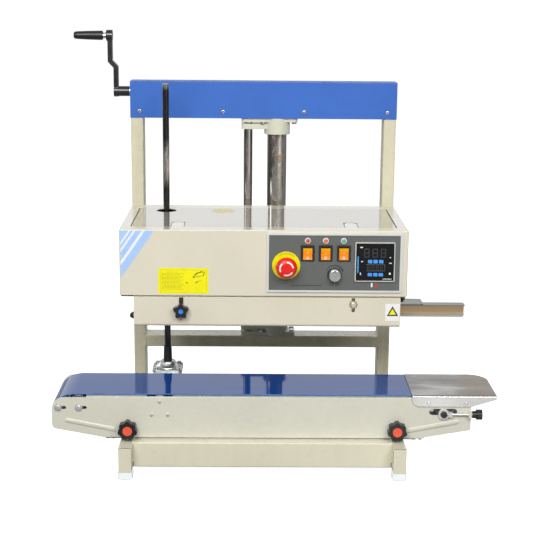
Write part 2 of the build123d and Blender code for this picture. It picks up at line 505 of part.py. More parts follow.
# screws on the head: the guard's right-hand screw with its brass washer, and the four lid-side shell screws
hs = []
w = cy(171.0, GS_Z, 2.0, GY, 8.0) - cy(171.0, GS_Z, 1, 4, 2.5)
sc = cy(171.0, GS_Z, -0.8, 2.0, 4.6)
sc = fillet(sc.edges().group_by(Axis.Y)[0], 1.5)
sc = sc + cy(171.0, GS_Z, -0.5, 14.0, 2.5)
kx = cz(267.0, 30.0, 339.0, CH0, 5.5) + cz(267.0, 30.0, 334.0, 339.0, 3.0)
hs += [w, sc, kx]
put("head_screws", *hs)

# gear train above the chassis plate
GZ_0, GZ_1 = 356.0, 366.0
TOPP = 374.0
pl = bx(-238.0, -152.0, 22.0, 232.0, TOPP, TOPP + 4)
for x, y in SHAFTS:
    pl = pl - cz(x, y, TOPP - 1, TOPP + 6, 6.05)
pl = pl - cz(MOTOR_X, MOTOR_Y, TOPP - 1, TOPP + 6, 16.0)
pl = pl - cz(KEY_X, KEY_Y, TOPP - 1, TOPP + 6, 14.05)
posts = []
for x in (-234.0, -156.0):
    for y in (26.0, 75.0, 227.0):
        posts.append(cz(x, y, HEAD_Z0, TOPP, 3.5))
put("gear_plate", pl, *posts)
mot = fillet(cz(MOTOR_X, MOTOR_Y, TOPP + 4, 456.0, 37.0).edges().filter_by(GeomType.CIRCLE).group_by(Axis.Z)[-1], 4.0)
mot = mot + rbox(MOTOR_X - 38, MOTOR_X + 38, MOTOR_Y - 38, MOTOR_Y + 38, TOPP + 4, TOPP + 12, 8)
mot = mot - cz(MOTOR_X, MOTOR_Y, TOPP, TOPP + 30, 5.05) - cz(KEY_X, KEY_Y, TOPP, 480, 9.0)
put("drive_motor", mot)

PH_M = 0.0


def mesh_phase(xa, ya, za, pa, xb, yb, zb):
    """Tooth direction, degrees, of gear B so that it meshes with gear A."""
    phi = math.degrees(math.atan2(yb - ya, xb - xa))
    delta = phi - pa
    gap = phi + 180.0 + (za / zb) * delta
    return gap + 180.0 / zb


Z_M, Z_S, Z_D = 32, 38, 38
ph_s = mesh_phase(MOTOR_X, MOTOR_Y, Z_M, PH_M, KEY_X, KEY_Y, Z_S)
ph_r = mesh_phase(MOTOR_X, MOTOR_Y, Z_M, PH_M, GEAR_X, REAR_AXIS_Y, Z_D)
ph_f = mesh_phase(GEAR_X, REAR_AXIS_Y, Z_D, ph_r, GEAR_X, FRONT_AXIS_Y, Z_D)
mg = spur(MOTOR_X, MOTOR_Y, GZ_0, GZ_1, Z_M, GEAR_M, PH_M, 5.0, 12.0, (GZ_0, 371.0))
ms = cz(MOTOR_X, MOTOR_Y, 353.0, TOPP + 29, 5.0)
put("motor_gear", mg, ms)
sg_ = spur(KEY_X, KEY_Y, GZ_0, GZ_1, Z_S, GEAR_M, ph_s, KEY_R + 0.05, 14.0, (CH0 + 0.5, TOPP + 3.5))
put("shaft_gear", sg_)


def wheel(x, y, bore, rim_r=WHEEL_R):
    w_ = cz(x, y, 301.0, 320.0, rim_r)
    w_ = w_ - (cz(x, y, 300, 305.0, rim_r - 4) - cz(x, y, 300, 305.0, 10.0))
    w_ = w_ - (cz(x, y, 316.0, 321, rim_r - 4) - cz(x, y, 316.0, 321, 10.0))
    return w_ - cz(x, y, 299, 322, bore)


for nm, y, ph in (("front", FRONT_AXIS_Y, ph_f), ("rear", REAR_AXIS_Y, ph_r)):
    put(nm + "_drive_wheel", wheel(GEAR_X, y, 6.0), spur(GEAR_X, y, GZ_0, GZ_1, Z_D, GEAR_M, ph, 6.0, 11.0, (HEAD_Z0 + 0.5, 371.0)),
        cz(GEAR_X, y, 300.0, TOPP + 3.5, 6.0))
    put(nm + "_idler_wheel", wheel(IDLER_X, y, 5.05) + (cz(IDLER_X, y, 320.0, 330.0, 9.0) - cz(IDLER_X, y, 319, 331, 5.05)))

# endless sealing bands round the wheels, one each side of the bag plane
bands = []
for y in (FRONT_AXIS_Y, REAR_AXIS_Y):
    ro, ri = 28.43, 28.1
    o = cz(GEAR_X, y, BAND_Z0, BAND_Z1, ro) + cz(IDLER_X, y, BAND_Z0, BAND_Z1, ro) + bx(GEAR_X, IDLER_X, y - ro, y + ro, BAND_Z0, BAND_Z1)
    i_ = cz(GEAR_X, y, BAND_Z0 - 1, BAND_Z1 + 1, ri) + cz(IDLER_X, y, BAND_Z0 - 1, BAND_Z1 + 1, ri) + bx(GEAR_X, IDLER_X, y - ri, y + ri, BAND_Z0 - 1, BAND_Z1 + 1)
    bands.append(o - i_)
put("sealing_bands", *bands)
hb, cb = [], []
for s, y in ((-1, FRONT_AXIS_Y), (1, REAR_AXIS_Y)):
    face_y = y - s * 28.1
    back_y = face_y + s * 14.0
    ya, yb = sorted((face_y, back_y))
    for lst, xa, xb in ((hb, 40.0, 110.0), (cb, -110.0, -30.0)):
        blk = bx(xa, xb, ya, yb, 302.0, 319.0)
        if lst is cb:
            for j in range(5):
                xg = xa + 10 + j * 15
                fin = bx(xg, xg + 5, min(back_y, back_y - s * 6), max(back_y, back_y - s * 6), 301.0, 320.0)
                blk = blk - fin
        # hanger to the chassis plate
        xm = (xa + xb) / 2
        yc = (ya + yb) / 2
        blk = blk + bx(xm - 10, xm + 10, yc - 4, yc + 4, 319.0, CH0)
        lst.append(blk)
put("heater_blocks", *hb)
put("cooling_blocks", *cb)

# ================================================================ CONVEYOR
out = [(X_LEFT + 7, 84.0), (-307.0, PLATE_LOW), (300.0, PLATE_LOW), (404.5, 84.5), (404.5, PLATE_TOP)] \
    + arc_pts(X_LEFT + 25.0, PLATE_TOP - 25.0, 25.0, 90, 180, 12) + [(X_LEFT, 92.0), (X_LEFT + 2, 87.0)]


def side(y0, y1):
    p = pr_y(out, y0, y1)
    ya, yb = min(y0, y1) - 1, max(y0, y1) + 1
    for ax, w_ in ((END_AX, 3.05), (SEC_AX, 3.05)):
        p = p - cy(ax[0], ax[1], ya, yb, w_) - bx(ax[0], ax[0] + 13, ya, yb, ax[1] - w_, ax[1] + w_) - cy(ax[0] + 13, ax[1], ya, yb, w_)
    zt_ = TEN_AX[1]
    p = p - bx(TEN_AX[0] - 21.5, TEN_AX[0] + 20, ya, yb, zt_ - 6.5, zt_ + 6.5) - cy(TEN_AX[0] - 21.5, zt_, ya, yb, 6.5) - cy(TEN_AX[0] + 20, zt_, ya, yb, 6.5)
    p = p - cy(-CLAMP_X, CLAMP_Z, ya, yb, 4.05) - cy(CLAMP_X, CLAMP_Z, ya, yb, 4.05)
    return p


pf = side(0, SHEET)
pb = side(CONV_D - SHEET, CONV_D)
pb = pb - cy(DRUM_AX[0], DRUM_AX[1], CONV_D - 3, CONV_D + 1, 12.0)
# pressed stiffening ribs, raised from the front face
ribs = []
for (xa, za), (xb, zb) in (((-379.0, 101.5), (-287.0, 83.2)), ((283.0, 82.8), (378.0, 101.5))):
    dx, dz = xb - xa, zb - za
    L = math.hypot(dx, dz)
    n = (-dz / L * 3.2, dx / L * 3.2)
    rb = pr_y([(xa + n[0], za + n[1]), (xb + n[0], zb + n[1]), (xb - n[0], zb - n[1]), (xa - n[0], za - n[1])], -1.4, 0)
    rb = rb + cy(xa, za, -1.4, 0, 3.2) + cy(xb, zb, -1.4, 0, 3.2)
    pf = pf + rb
for xa, xb in ((-309.0, -283.0), (288.0, 315.0)):
    tb_ = bx(xa, xb, 0.2, 18.0, PLATE_LOW, PLATE_LOW + 2.5)
    for x in (-302.0, -290.0, 295.0, 308.0):
        tb_ = tb_ - cz(x, 10.0, 60, 75, 2.0)
    pf = pf + tb_
put("front_side_plate", pf)
put("rear_side_plate", pb)

bed = bx(-341.0, 304.0, SHEET, CONV_D - SHEET, 147.5, 149.0) + bx(-341.0, 304.0, BELT_Y0 + 4, BELT_Y1 - 4, 149.0, 151.0)
bed = bed - bx(DRUM_AX[0] - 25, DRUM_AX[0] + 25, 5.0, CONV_D - 5, 140, 155)
ties = [cy(-90.0, 78.0, SHEET, CONV_D - SHEET, 5.0), cy(120.0, 78.0, SHEET, CONV_D - SHEET, 5.0), cy(-330.0, 84.0, SHEET, CONV_D - SHEET, 5.0), cy(388.0, 95.0, SHEET, CONV_D - SHEET, 5.0)]
put("slider_bed", bed, *ties)


# conveyor belt: closed band round the four rollers
def tangent(c1, r1, c2, r2, side_):
    """Ends of the outer tangent from circle 1 to circle 2, on the left (+1) or right (-1)."""
    dx, dz = c2[0] - c1[0], c2[1] - c1[1]
    d = math.hypot(dx, dz)
    base = math.atan2(dz, dx)
    off = math.acos((r1 - r2) / d)
    a = base + side_ * off
    return ((c1[0] + r1 * math.cos(a), c1[1] + r1 * math.sin(a)), (c2[0] + r2 * math.cos(a), c2[1] + r2 * math.sin(a)), a)


def belt_wire(extra, y):
    e, s_, d_, t_ = (END_R + extra), (SEC_R + extra), (DRUM_R + extra), (TEN_R + extra)
    ra, ca = RISE_R - BELT_T + extra, (RISE_X, BELT_TOP - RISE_R)
    ta = math.atan2(END_AX[1] - ca[1], END_AX[0] - ca[0])
    p2 = tangent(SEC_AX, s_, TEN_AX, t_, 1)
    p3 = tangent(TEN_AX, t_, DRUM_AX, d_, 1)
    p4 = tangent(DRUM_AX, d_, SEC_AX, s_, 1)
    p5 = tangent(SEC_AX, s_, END_AX, e, 1)

    def P(q):
        return Vector(q[0], y, q[1])

    def arc(c, r, a, b):
        m_ = a + ((b - a) % (-2 * math.pi)) / 2
        return Edge.make_three_point_arc(Vector(c[0] + r * math.cos(a), y, c[1] + r * math.sin(a)),
                                         Vector(c[0] + r * math.cos(m_), y, c[1] + r * math.sin(m_)),
                                         Vector(c[0] + r * math.cos(b), y, c[1] + r * math.sin(b)))
    ed = [arc(ca, ra, ta, math.pi / 2), Edge.make_line(P((ca[0], ca[1] + ra)), P(p2[1])), arc(TEN_AX, t_, p2[2], p3[2]),
          Edge.make_line(P(p3[0]), P(p3[1])), arc(DRUM_AX, d_, p3[2], p4[2]),
          Edge.make_line(P(p4[0]), P(p4[1])), arc(SEC_AX, s_, p4[2], p5[2]),
          Edge.make_line(P(p5[0]), P(p5[1])), arc(END_AX, e, p5[2], ta)]
    return Wire(ed)


bo = Solid.extrude(Face(belt_wire(BELT_T, BELT_Y0)), Vector(0, BELT_Y1 - BELT_Y0, 0))
bi = Solid.extrude(Face(belt_wire(0.0, BELT_Y0 - 1)), Vector(0, BELT_Y1 - BELT_Y0 + 2, 0))
belt = bo - bi
put("conveyor_belt", belt)


def roller(ax, r, y0=6.0, y1=144.0, axle=3.0, ya=-2.0, yb=152.0):
    t = cy(ax[0], ax[1], y0, y1, r)
    if r > 15:
        t = t - (cy(ax[0], ax[1], y0 - 1, y0 + 6, r - 3) - cy(ax[0], ax[1], y0 - 2, y0 + 7, 9.0))
        t = t - (cy(ax[0], ax[1], y1 - 6, y1 + 1, r - 3) - cy(ax[0], ax[1], y1 - 7, y1 + 2, 9.0))
        t = t - (cy(ax[0], ax[1], y0 + 10, y1 - 10, r - 3) - cy(ax[0], ax[1], y0, y1, 9.0))
    return t


put("end_roller", roller(END_AX, END_R - CLEAR) - cy(END_AX[0], END_AX[1], 0, 150, 3.05))
put("second_roller", roller(SEC_AX, SEC_R - CLEAR) - cy(SEC_AX[0], SEC_AX[1], 0, 150, 3.05))
drum = roller(DRUM_AX, DRUM_R - CLEAR) + cy(DRUM_AX[0], DRUM_AX[1], 1.6, 6.5, 5.0) + cy(DRUM_AX[0], DRUM_AX[1], 143.0, 172.0, 5.0)
put("drive_drum", drum)
put("tension_roller", roller(TEN_AX, TEN_R - CLEAR) - cy(TEN_AX[0], TEN_AX[1], 0, 150, 4.05))

# axles, washers and screws of the conveyor
cs = []
for ax in (END_AX, SEC_AX):
    a_ = cy(ax[0], ax[1], -1.2, CONV_D + 1.2, 3.0)
    h1 = cy(ax[0], ax[1], -4.4, -1.2, 5.2)
    h1 = fillet(h1.edges().group_by(Axis.Y)[0], 1.2)
    w1 = cy(ax[0], ax[1], -1.2, 0, 7.4)
    w2 = cy(ax[0], ax[1], CONV_D, CONV_D + 1.2, 7.4) + cy(ax[0], ax[1], CONV_D + 1.2, CONV_D + 4.4, 5.2)
    cs.append(a_ + h1 + w1 + w2)
for x, z in ((-199.6, 139.5), (-215.2, 113.0), (-184.0, 113.0)):
    h1 = cy(x, z, -2.0, 0, 3.4)
    cs.append(fillet(h1.edges().group_by(Axis.Y)[0], 1.2))
brg_h = cy(DRUM_AX[0], DRUM_AX[1], SHEET, 5.6, 12.0) - cy(DRUM_AX[0], DRUM_AX[1], 0, 7, 5.05)
cs.append(brg_h)
for x in (-302.0, -290.0, 295.0, 308.0):
    cs.append(cz(x, 10.0, 62.2, PLATE_LOW, 3.6) + cz(x, 10.0, 62.2, PLATE_LOW + 5, 2.0))
for x in (-CLAMP_X, CLAMP_X):
    cs.append(cy(x, CLAMP_Z, 143.4, CONV_D + 5.5, 4.0) + pr_y([(x + 7.5 * math.cos(math.radians(60 * i)), CLAMP_Z + 7.5 * math.sin(math.radians(60 * i))) for i in range(6)], CONV_D, CONV_D + 5.5))
put("conveyor_screws", *cs)

# tension gear: axle carried in blocks that slide in the plates' slots, pulled by a screw
zt = TEN_AX[1]
tc = cy(TEN_AX[0], zt, -3.0, CONV_D + 6.0, 4.0)
zr = TEN_Z
for ya, yb in ((-0.3, 5.3), (CONV_D - 5.3, CONV_D + 0.3)):
    blkk = bx(TEN_AX[0] - 16, TEN_AX[0] + 18, ya, yb, zt - 6.2, zt + 6.2)
    tc = tc + blkk
rg = cy(TEN_AX[0], zr, -5.2, -0.3, 11.0)
rg = fillet(rg.edges().group_by(Axis.Y)[0], 1.0)
tc = tc + rg
bk = cy(TEN_AX[0], zr, -9.0, -5.2, 6.5)
bk = bk - pr_y([(TEN_AX[0] + 3.2 * math.cos(math.radians(60 * i)), zr + 3.2 * math.sin(math.radians(60 * i))) for i in range(6)], -9.5, -6.5)
tc = tc + bk + cy(TEN_AX[0], zt, CONV_D + 0.3, CONV_D + 5.0, 8.0)
tc = tc + bx(TEN_AX[0] + 9, TEN_AX[0] + 17, -7.5, -0.3, zr - 5.0, zr + 5.0)
tc = tc - cx(TEN_AX[0] + 3, TEN_AX[0] + 30, -4.2, zr, 2.75)
put("tension_carrier", tc)
yk = -4.2
rod = cx(TEN_AX[0] + 4, 412.0, yk, zr, 2.7)
kn = cx(406.0, 413.5, yk, zr, 7.0) + cx(413.5, 424.5, yk, zr, 10.0)
kn = kn - cx(404, 412.0, yk, zr, 2.7)
for i in range(20):
    a = 2 * math.pi * i / 20
    kn = kn - Pos(419, yk + 10.2 * math.cos(a), zr + 10.2 * math.sin(a)) * Rot(0, 90, 0) * Cylinder(0.9, 14)
put("tension_knob", kn, rod)
# lug on the plate that the tension screw turns in
lug = bx(398.5, 404.5, -10.0, 0.0, zr - 6.5, zr + 6.5) - cx(390, 410, yk, zr, 2.75)
OUT["front_side_plate"] = list((OUT["front_side_plate"][0] + lug).solids())

# stainless infeed plate: one sheet folded down over the front side plate
def folded(x0, x1, y_front, y_back, z_low, z_top, t, ro):
    """Sheet of thickness t, level from the back and turned down at the front."""
    yc, zc, k = y_front + ro, z_top - ro, math.sqrt(0.5)
    ri = ro - t

    def V(y, z):
        return Vector(x0, y, z)
    ed = [Edge.make_line(V(y_back, z_top), V(yc, z_top)),
          Edge.make_three_point_arc(V(yc, z_top), V(yc - ro * k, zc + ro * k), V(y_front, zc)),
          Edge.make_line(V(y_front, zc), V(y_front, z_low)),
          Edge.make_line(V(y_front, z_low), V(y_front + t, z_low)),
          Edge.make_line(V(y_front + t, z_low), V(y_front + t, zc)),
          Edge.make_three_point_arc(V(y_front + t, zc), V(yc - ri * k, zc + ri * k), V(yc, z_top - t)),
          Edge.make_line(V(yc, z_top - t), V(y_back, z_top - t)),
          Edge.make_line(V(y_back, z_top - t), V(y_back, z_top))]
    return Solid.extrude(Face(Wire(ed)), Vector(x1 - x0, 0, 0))


ipb = folded(289.0, X_RIGHT, -2.6, 139.0, 132.8, BELT_TOP + 1.9, SHEET, 4.0)
ipb = fillet(ipb.edges().filter_by(Axis.Z).sort_by(lambda e: e.center().X + e.center().Y)[-1:], 38.0)
ipb = ipb - pr_y([(288.0, 144.0), (289.0, 144.0), (292.0, 137.0), (301.0, 132.8), (301.0, 130.0), (288.0, 130.0)], -4.0, 1.0) \
    - pr_y([(405.0, 132.8), (X_RIGHT, 147.5), (X_RIGHT + 1, 147.8), (X_RIGHT + 1, 130.0), (405.0, 130.0)], -4.0, 1.0)
pads = [bx(x - 6, x + 6, -1.1, 0.0, 134.0, 146.0) for x in (322.0, 394.0)]
ips = [cy(x, 139.6, -4.4, -2.6, 3.6) for x in (322.0, 394.0)] + [cy(350.8, 138.5, -3.6, -2.6, 3.2)]
put("infeed_plate", ipb, *pads, *[fillet(s_.edges().group_by(Axis.Y)[0], 1.0) for s_ in ips[:2]])

# gearbox on the rear plate, the splined drive shaft that rises through the head
GB_Z0, GB_Z1 = 96.0, 143.0
gb = rbox(KEY_X - 28, KEY_X + 28, CONV_D, KEY_Y + 28, GB_Z0, GB_Z1, 6)
flg = rbox(KEY_X - 31, KEY_X + 31, KEY_Y - 31, KEY_Y + 31, GB_Z1, GB_Z1 + 5, 10)
dome = Pos(KEY_X, KEY_Y, GB_Z1 + 5) * rev_z([(0, 0), (25, 0), (24, 2.5), (20, 5.0), (16.5, 10.0), (15.5, 13.0), (0, 13.0)])
gb = gb + flg + dome
gb = gb - rbox(KEY_X - 23, KEY_X + 23, CONV_D + 6, KEY_Y + 23, GB_Z0 + 5, GB_Z1 - 4, 4)
gb = gb - cz(KEY_X, KEY_Y, GB_Z1 - 10, GB_Z1 + 30, KEY_R + 0.05)
gb = gb - cy(DRUM_AX[0], DRUM_AX[1], CONV_D - 2, CONV_D + 8, 5.05)
cap_ = cy(DRUM_AX[0], DRUM_AX[1], CONV_D - SHEET, CONV_D, 12.0) - cy(DRUM_AX[0], DRUM_AX[1], CONV_D - 3, CONV_D + 1, 5.05)
bolts = []
for sx in (-1, 1):
    for sy in (-1, 1):
        bolts.append(cz(KEY_X + sx * 22.5, KEY_Y + sy * 22.5, GB_Z1 + 5, GB_Z1 + 9.5, 4.6))
put("gearbox", gb, cap_, *bolts)
ks = cz(KEY_X, KEY_Y, 108.0, 733.0, KEY_R)
ks = ks - bx(KEY_X - 1.5, KEY_X + 1.5, KEY_Y - KEY_R - 1, KEY_Y - KEY_R + 2.2, 230.0, 734.0)
put("key_shaft", ks)
bt_ = Pos(KEY_X, KEY_Y, GB_Z1 + 18) * rev_z([(KEY_R + 0.6, 0), (9.0, 0), (8.4, 24.0), (7.8, 31.0), (KEY_R + 0.6, 31.0)])
put("shaft_boot", bt_)

# clamp knobs with their studs
for nm, s in (("clamp_knob_left", -1), ("clamp_knob_right", 1)):
    x = s * CLAMP_X
    pts = []
    for i in range(7):
        a0 = 90 + 360.0 / 7 * i
        for da, r in ((-9, 18.4), (0, 19.2), (9, 18.4), (360.0 / 14, 15.8)):
            a = math.radians(a0 + da)
            pts.append((x + r * math.cos(a), CLAMP_Z + r * math.sin(a)))
    k_ = pr_y(pts, -24.0, -8.0) + cy(x, CLAMP_Z, -8.0, -0.3, 10.0)
    stud_ = cy(x, CLAMP_Z, -14.0, 7.6, 4.0)
    k_ = k_ - stud_
    k_ = k_ - cy(x, CLAMP_Z, -25.0, -22.6, 9.2)
    cp = cy(x, CLAMP_Z, -24.4, -22.6, 9.2)
    put(nm, k_, stud_, cp)

# ---------------------------------------------------------------- write
if __name__ == "__main__":
    os.makedirs("parts", exist_ok=True)
    for old in os.listdir("parts"):
        if old.endswith(".step") and old[:-5] not in OUT:
            os.remove(os.path.join("parts", old))
    for name, solids in OUT.items():
        moved = [Pos(-X0, -Y0, 0) * s for s in solids]
        shape = moved[0] if len(moved) == 1 else Compound(children=moved)
        export_step(shape, "parts/%s.step" % name)
    print(len(OUT), "nodes", sum(len(v) for v in OUT.values()), "solids")
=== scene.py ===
import bpy, bmesh, json, math, random
from mathutils import Matrix, Vector, noise

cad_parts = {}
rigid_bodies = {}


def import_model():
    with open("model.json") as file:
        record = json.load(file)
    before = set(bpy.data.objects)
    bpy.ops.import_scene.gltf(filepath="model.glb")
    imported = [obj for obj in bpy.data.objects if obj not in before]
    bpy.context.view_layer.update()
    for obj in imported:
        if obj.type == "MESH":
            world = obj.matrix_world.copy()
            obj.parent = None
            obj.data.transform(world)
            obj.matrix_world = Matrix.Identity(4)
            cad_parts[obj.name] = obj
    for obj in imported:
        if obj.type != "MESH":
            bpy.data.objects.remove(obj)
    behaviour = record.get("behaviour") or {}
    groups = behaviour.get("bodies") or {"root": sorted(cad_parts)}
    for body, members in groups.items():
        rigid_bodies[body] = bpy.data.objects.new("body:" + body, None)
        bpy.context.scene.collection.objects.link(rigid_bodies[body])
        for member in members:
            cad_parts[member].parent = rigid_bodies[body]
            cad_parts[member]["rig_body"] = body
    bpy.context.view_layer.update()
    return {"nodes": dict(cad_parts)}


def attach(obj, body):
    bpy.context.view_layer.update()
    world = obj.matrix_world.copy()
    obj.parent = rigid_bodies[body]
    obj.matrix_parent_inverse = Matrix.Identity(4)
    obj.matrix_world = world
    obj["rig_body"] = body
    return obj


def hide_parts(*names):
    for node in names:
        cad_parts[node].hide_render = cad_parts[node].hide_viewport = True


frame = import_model()
NODES = frame["nodes"]
scene = bpy.context.scene
X0, Y0 = 22.5, 160.0                      # the design frame's origin, mm, seen from the row frame


def P(x, y, z):
    return Vector(((x - X0) / 1000, (y - Y0) / 1000, z / 1000))


def D(v):
    return (v.x * 1000 + X0, v.y * 1000 + Y0, v.z * 1000)


# ------------------------------------------------------------------ camera
def make_camera():
    f, pitch, yaw, roll = 1279.2965, 0.217735707, 0.011567852, 0.008573850
    fwd = Vector((math.sin(yaw) * math.cos(pitch), math.cos(yaw) * math.cos(pitch), -math.sin(pitch)))
    right = Vector((math.cos(yaw), -math.sin(yaw), 0))
    up = right.cross(fwd)
    r2 = math.cos(roll) * right + math.sin(roll) * up
    u2 = -math.sin(roll) * right + math.cos(roll) * up
    cd = bpy.data.cameras.new("view_camera")
    cd.sensor_width = 36.0
    cd.lens = f * 36.0 / 533.0
    cd.clip_end = 300
    cam = bpy.data.objects.new("view_camera", cd)
    scene.collection.objects.link(cam)
    m = Matrix((r2, u2, -fwd)).transposed().to_4x4()
    m.translation = P(-22.173, -2357.131, 929.812)
    cam.matrix_world = m
    scene.camera = cam


make_camera()
scene.view_settings.view_transform = "Standard"
scene.view_settings.look = "None"


# ------------------------------------------------------------------ material kit
class Mat:
    """Node material in object space, so a finish stays on its piece when it moves."""

    def __init__(self, name, rough=0.4, metal=0.0, **consts):
        self.m = bpy.data.materials.new(name)
        self.m.use_nodes = True
        self.t = self.m.node_tree
        self.t.nodes.clear()
        self.out = self.t.nodes.new("ShaderNodeOutputMaterial")
        self.b = self.t.nodes.new("ShaderNodeBsdfPrincipled")
        self.t.links.new(self.b.outputs[0], self.out.inputs[0])
        self.co = self.t.nodes.new("ShaderNodeTexCoord").outputs["Object"]
        self.b.inputs["Roughness"].default_value = rough
        self.b.inputs["Metallic"].default_value = metal
        for k, v in consts.items():
            self.b.inputs[k.replace("_", " ")].default_value = v
        self.height = None

    def node(self, kind, **kw):
        n = self.t.nodes.new(kind)
        for k, v in kw.items():
            setattr(n, k, v)
        return n

    def link(self, a, b):
        self.t.links.new(a, b)

    def coords(self, scale=(1, 1, 1), rot=(0, 0, 0), loc=(0, 0, 0)):
        n = self.node("ShaderNodeMapping")
        n.inputs["Scale"].default_value = scale
        n.inputs["Rotation"].default_value = rot
        n.inputs["Location"].default_value = loc
        self.link(self.co, n.inputs["Vector"])
        return n.outputs[0]

    def noise(self, scale, detail=3.0, rough=0.55, stretch=None, dist=0.0, loc=(0, 0, 0)):
        n = self.node("ShaderNodeTexNoise")
        n.inputs["Scale"].default_value = scale
        n.inputs["Detail"].default_value = detail
        n.inputs["Roughness"].default_value = rough
        n.inputs["Distortion"].default_value = dist
        self.link(self.coords(stretch or (1, 1, 1), loc=loc), n.inputs["Vector"])
        return n.outputs["Fac"]

    def voronoi(self, scale, stretch=None, feature="F1", out="Distance"):
        n = self.node("ShaderNodeTexVoronoi", feature=feature)
        n.inputs["Scale"].default_value = scale
        self.link(self.coords(stretch or (1, 1, 1)), n.inputs["Vector"])
        return n.outputs[out]

    def ramp(self, fac, *stops, interp="LINEAR"):
        n = self.node("ShaderNodeValToRGB")
        n.color_ramp.interpolation = interp
        e = n.color_ramp.elements
        while len(e) < len(stops):
            e.new(0.5)
        for i, (p, c) in enumerate(stops):
            e[i].position = p
            e[i].color = c if len(c) == 4 else (*c, 1)
        self.link(fac, n.inputs[0])
        return n.outputs[0]

    def grey(self, fac, *stops):
        return self.ramp(fac, *[(p, (v, v, v)) for p, v in stops])

    def math(self, op, a, b=0.0, clamp=False):
        n = self.node("ShaderNodeMath", operation=op, use_clamp=clamp)
        for i, v in enumerate((a, b)):
            if isinstance(v, (int, float)):
                n.inputs[i].default_value = v
            else:
                self.link(v, n.inputs[i])
        return n.outputs[0]

    def mix(self, fac, a, b, kind="MIX"):
        n = self.node("ShaderNodeMix", data_type="RGBA", blend_type=kind)
        for s, v in ((n.inputs[0], fac), (n.inputs[6], a), (n.inputs[7], b)):
            if isinstance(v, (int, float)):
                s.default_value = v
            elif isinstance(v, tuple):
                s.default_value = v if len(v) == 4 else (*v, 1)
            else:
                self.link(v, s)
        return n.outputs[2]

    def axis(self, i):
        n = self.node("ShaderNodeSeparateXYZ")
        self.link(self.co, n.inputs[0])
        return n.outputs[i]

    def band(self, i, lo, hi, soft):
        """1 between lo and hi (metres, row frame) along an axis, with soft ends."""
        n = self.node("ShaderNodeMapRange")
        n.clamp = True
        c, h = (lo + hi) / 2, (hi - lo) / 2
        d = self.math("ABSOLUTE", self.math("SUBTRACT", self.axis(i), c))
        self.link(d, n.inputs[0])
        n.inputs[1].default_value = h + soft
        n.inputs[2].default_value = max(h - soft, 0)
        n.inputs[3].default_value = 0
        n.inputs[4].default_value = 1
        return n.outputs[0]

    def color(self, s):
        self.link(s, self.b.inputs["Base Color"])

    def roughness(self, s):
        self.link(s, self.b.inputs["Roughness"])

    def metallic(self, s):
        self.link(s, self.b.inputs["Metallic"])

    def bump(self, height, strength=0.3, distance=0.001):
        n = self.node("ShaderNodeBump")
        n.inputs["Strength"].default_value = strength
        n.inputs["Distance"].default_value = distance
        self.link(height, n.inputs["Height"])
        if self.height is not None:
            self.link(self.height, n.inputs["Normal"])
        self.height = n.outputs[0]
        self.link(self.height, self.b.inputs["Normal"])


def srgb(r, g, b):
    f = lambda c: c / 12.92 if c <= 0.04045 else ((c + 0.055) / 1.055) ** 2.4
    return tuple(f(v / 255.0) for v in (r, g, b))


def scaled(c, k):
    return tuple(min(1.0, v * k) for v in c)


def paint(name, col, spread=0.05, r0=0.16, r1=0.30, peel=0.10, wave=0.15, dirt=0.35, streak=0.0, coat=0.6,
          dirt_col=(0.16, 0.12, 0.07), ior=1.5, cells=0.0):
    m = Mat(name, IOR=ior, Coat_Weight=coat, Coat_Roughness=0.05)
    big = m.noise(7, 4)
    c = m.ramp(big, (0.3, scaled(col, 1 - spread)), (0.7, scaled(col, 1 + spread * 0.5)))
    if streak:
        st = m.noise(60, 3, stretch=(1, 1, 0.05))
        c = m.mix(m.grey(st, (0.45, 0.0), (0.75, streak)), c, scaled(col, 0.72))
    fine = m.noise(260, 2)
    c = m.mix(m.grey(fine, (0.4, 0.0), (0.8, 0.10)), c, scaled(col, 0.86))
    if dirt:
        d = m.math("MULTIPLY", m.grey(m.noise(26, 8, 0.7), (0.60, 0.0), (0.74, 1.0)), m.grey(m.noise(5, 2, loc=(3, 1, 2)), (0.45, 0.0), (0.62, dirt)))
        c = m.mix(d, c, dirt_col)
    m.color(c)
    m.roughness(m.grey(m.noise(34, 5), (0.3, r0), (0.72, r1)))
    if wave:
        m.bump(m.noise(11, 2), wave, 0.0015)
    if cells:
        m.bump(m.voronoi(420, feature="SMOOTH_F1"), cells, 0.0006)
    m.bump(m.noise(1100, 2), peel, 0.0002)
    return m.m


def metal(name, c0, c1, r0=0.2, r1=0.38, brush=None, scale=30, aniso=0.0, rust=0.0, bump=0.15, rust_col=(0.20, 0.09, 0.04), fine=500, metalness=1.0):
    m = Mat(name, metal=metalness, Anisotropic=aniso)
    n = m.noise(scale, 6, 0.62, stretch=brush)
    c = m.ramp(n, (0.30, c0), (0.70, c1))
    if rust:
        k = m.grey(m.math("MULTIPLY", m.noise(38, 8, 0.72), m.noise(9, 3)), (0.24, 0.0), (0.36, rust))
        c = m.mix(k, c, rust_col)
        m.metallic(m.math("SUBTRACT", 1.0, m.math("MULTIPLY", k, 0.85)))
    m.color(c)
    m.roughness(m.grey(m.noise(scale * 1.7, 4, stretch=brush), (0.3, r0), (0.7, r1)))
    m.bump(m.noise(fine, 3, stretch=brush), bump, 0.0003)
    return m.m


def plastic(name, c, rough=(0.25, 0.42), spread=0.12, grain=0.25, grain_scale=900, coat=0.0, **kw):
    m = Mat(name, Coat_Weight=coat, Coat_Roughness=0.08, **kw)
    m.color(m.ramp(m.noise(55, 5), (0.3, scaled(c, 1 - spread)), (0.72, scaled(c, 1 + spread))))
    m.roughness(m.grey(m.noise(85, 4), (0.3, rough[0]), (0.7, rough[1])))
    m.bump(m.noise(grain_scale, 3), grain, 0.0002)
    return m.m


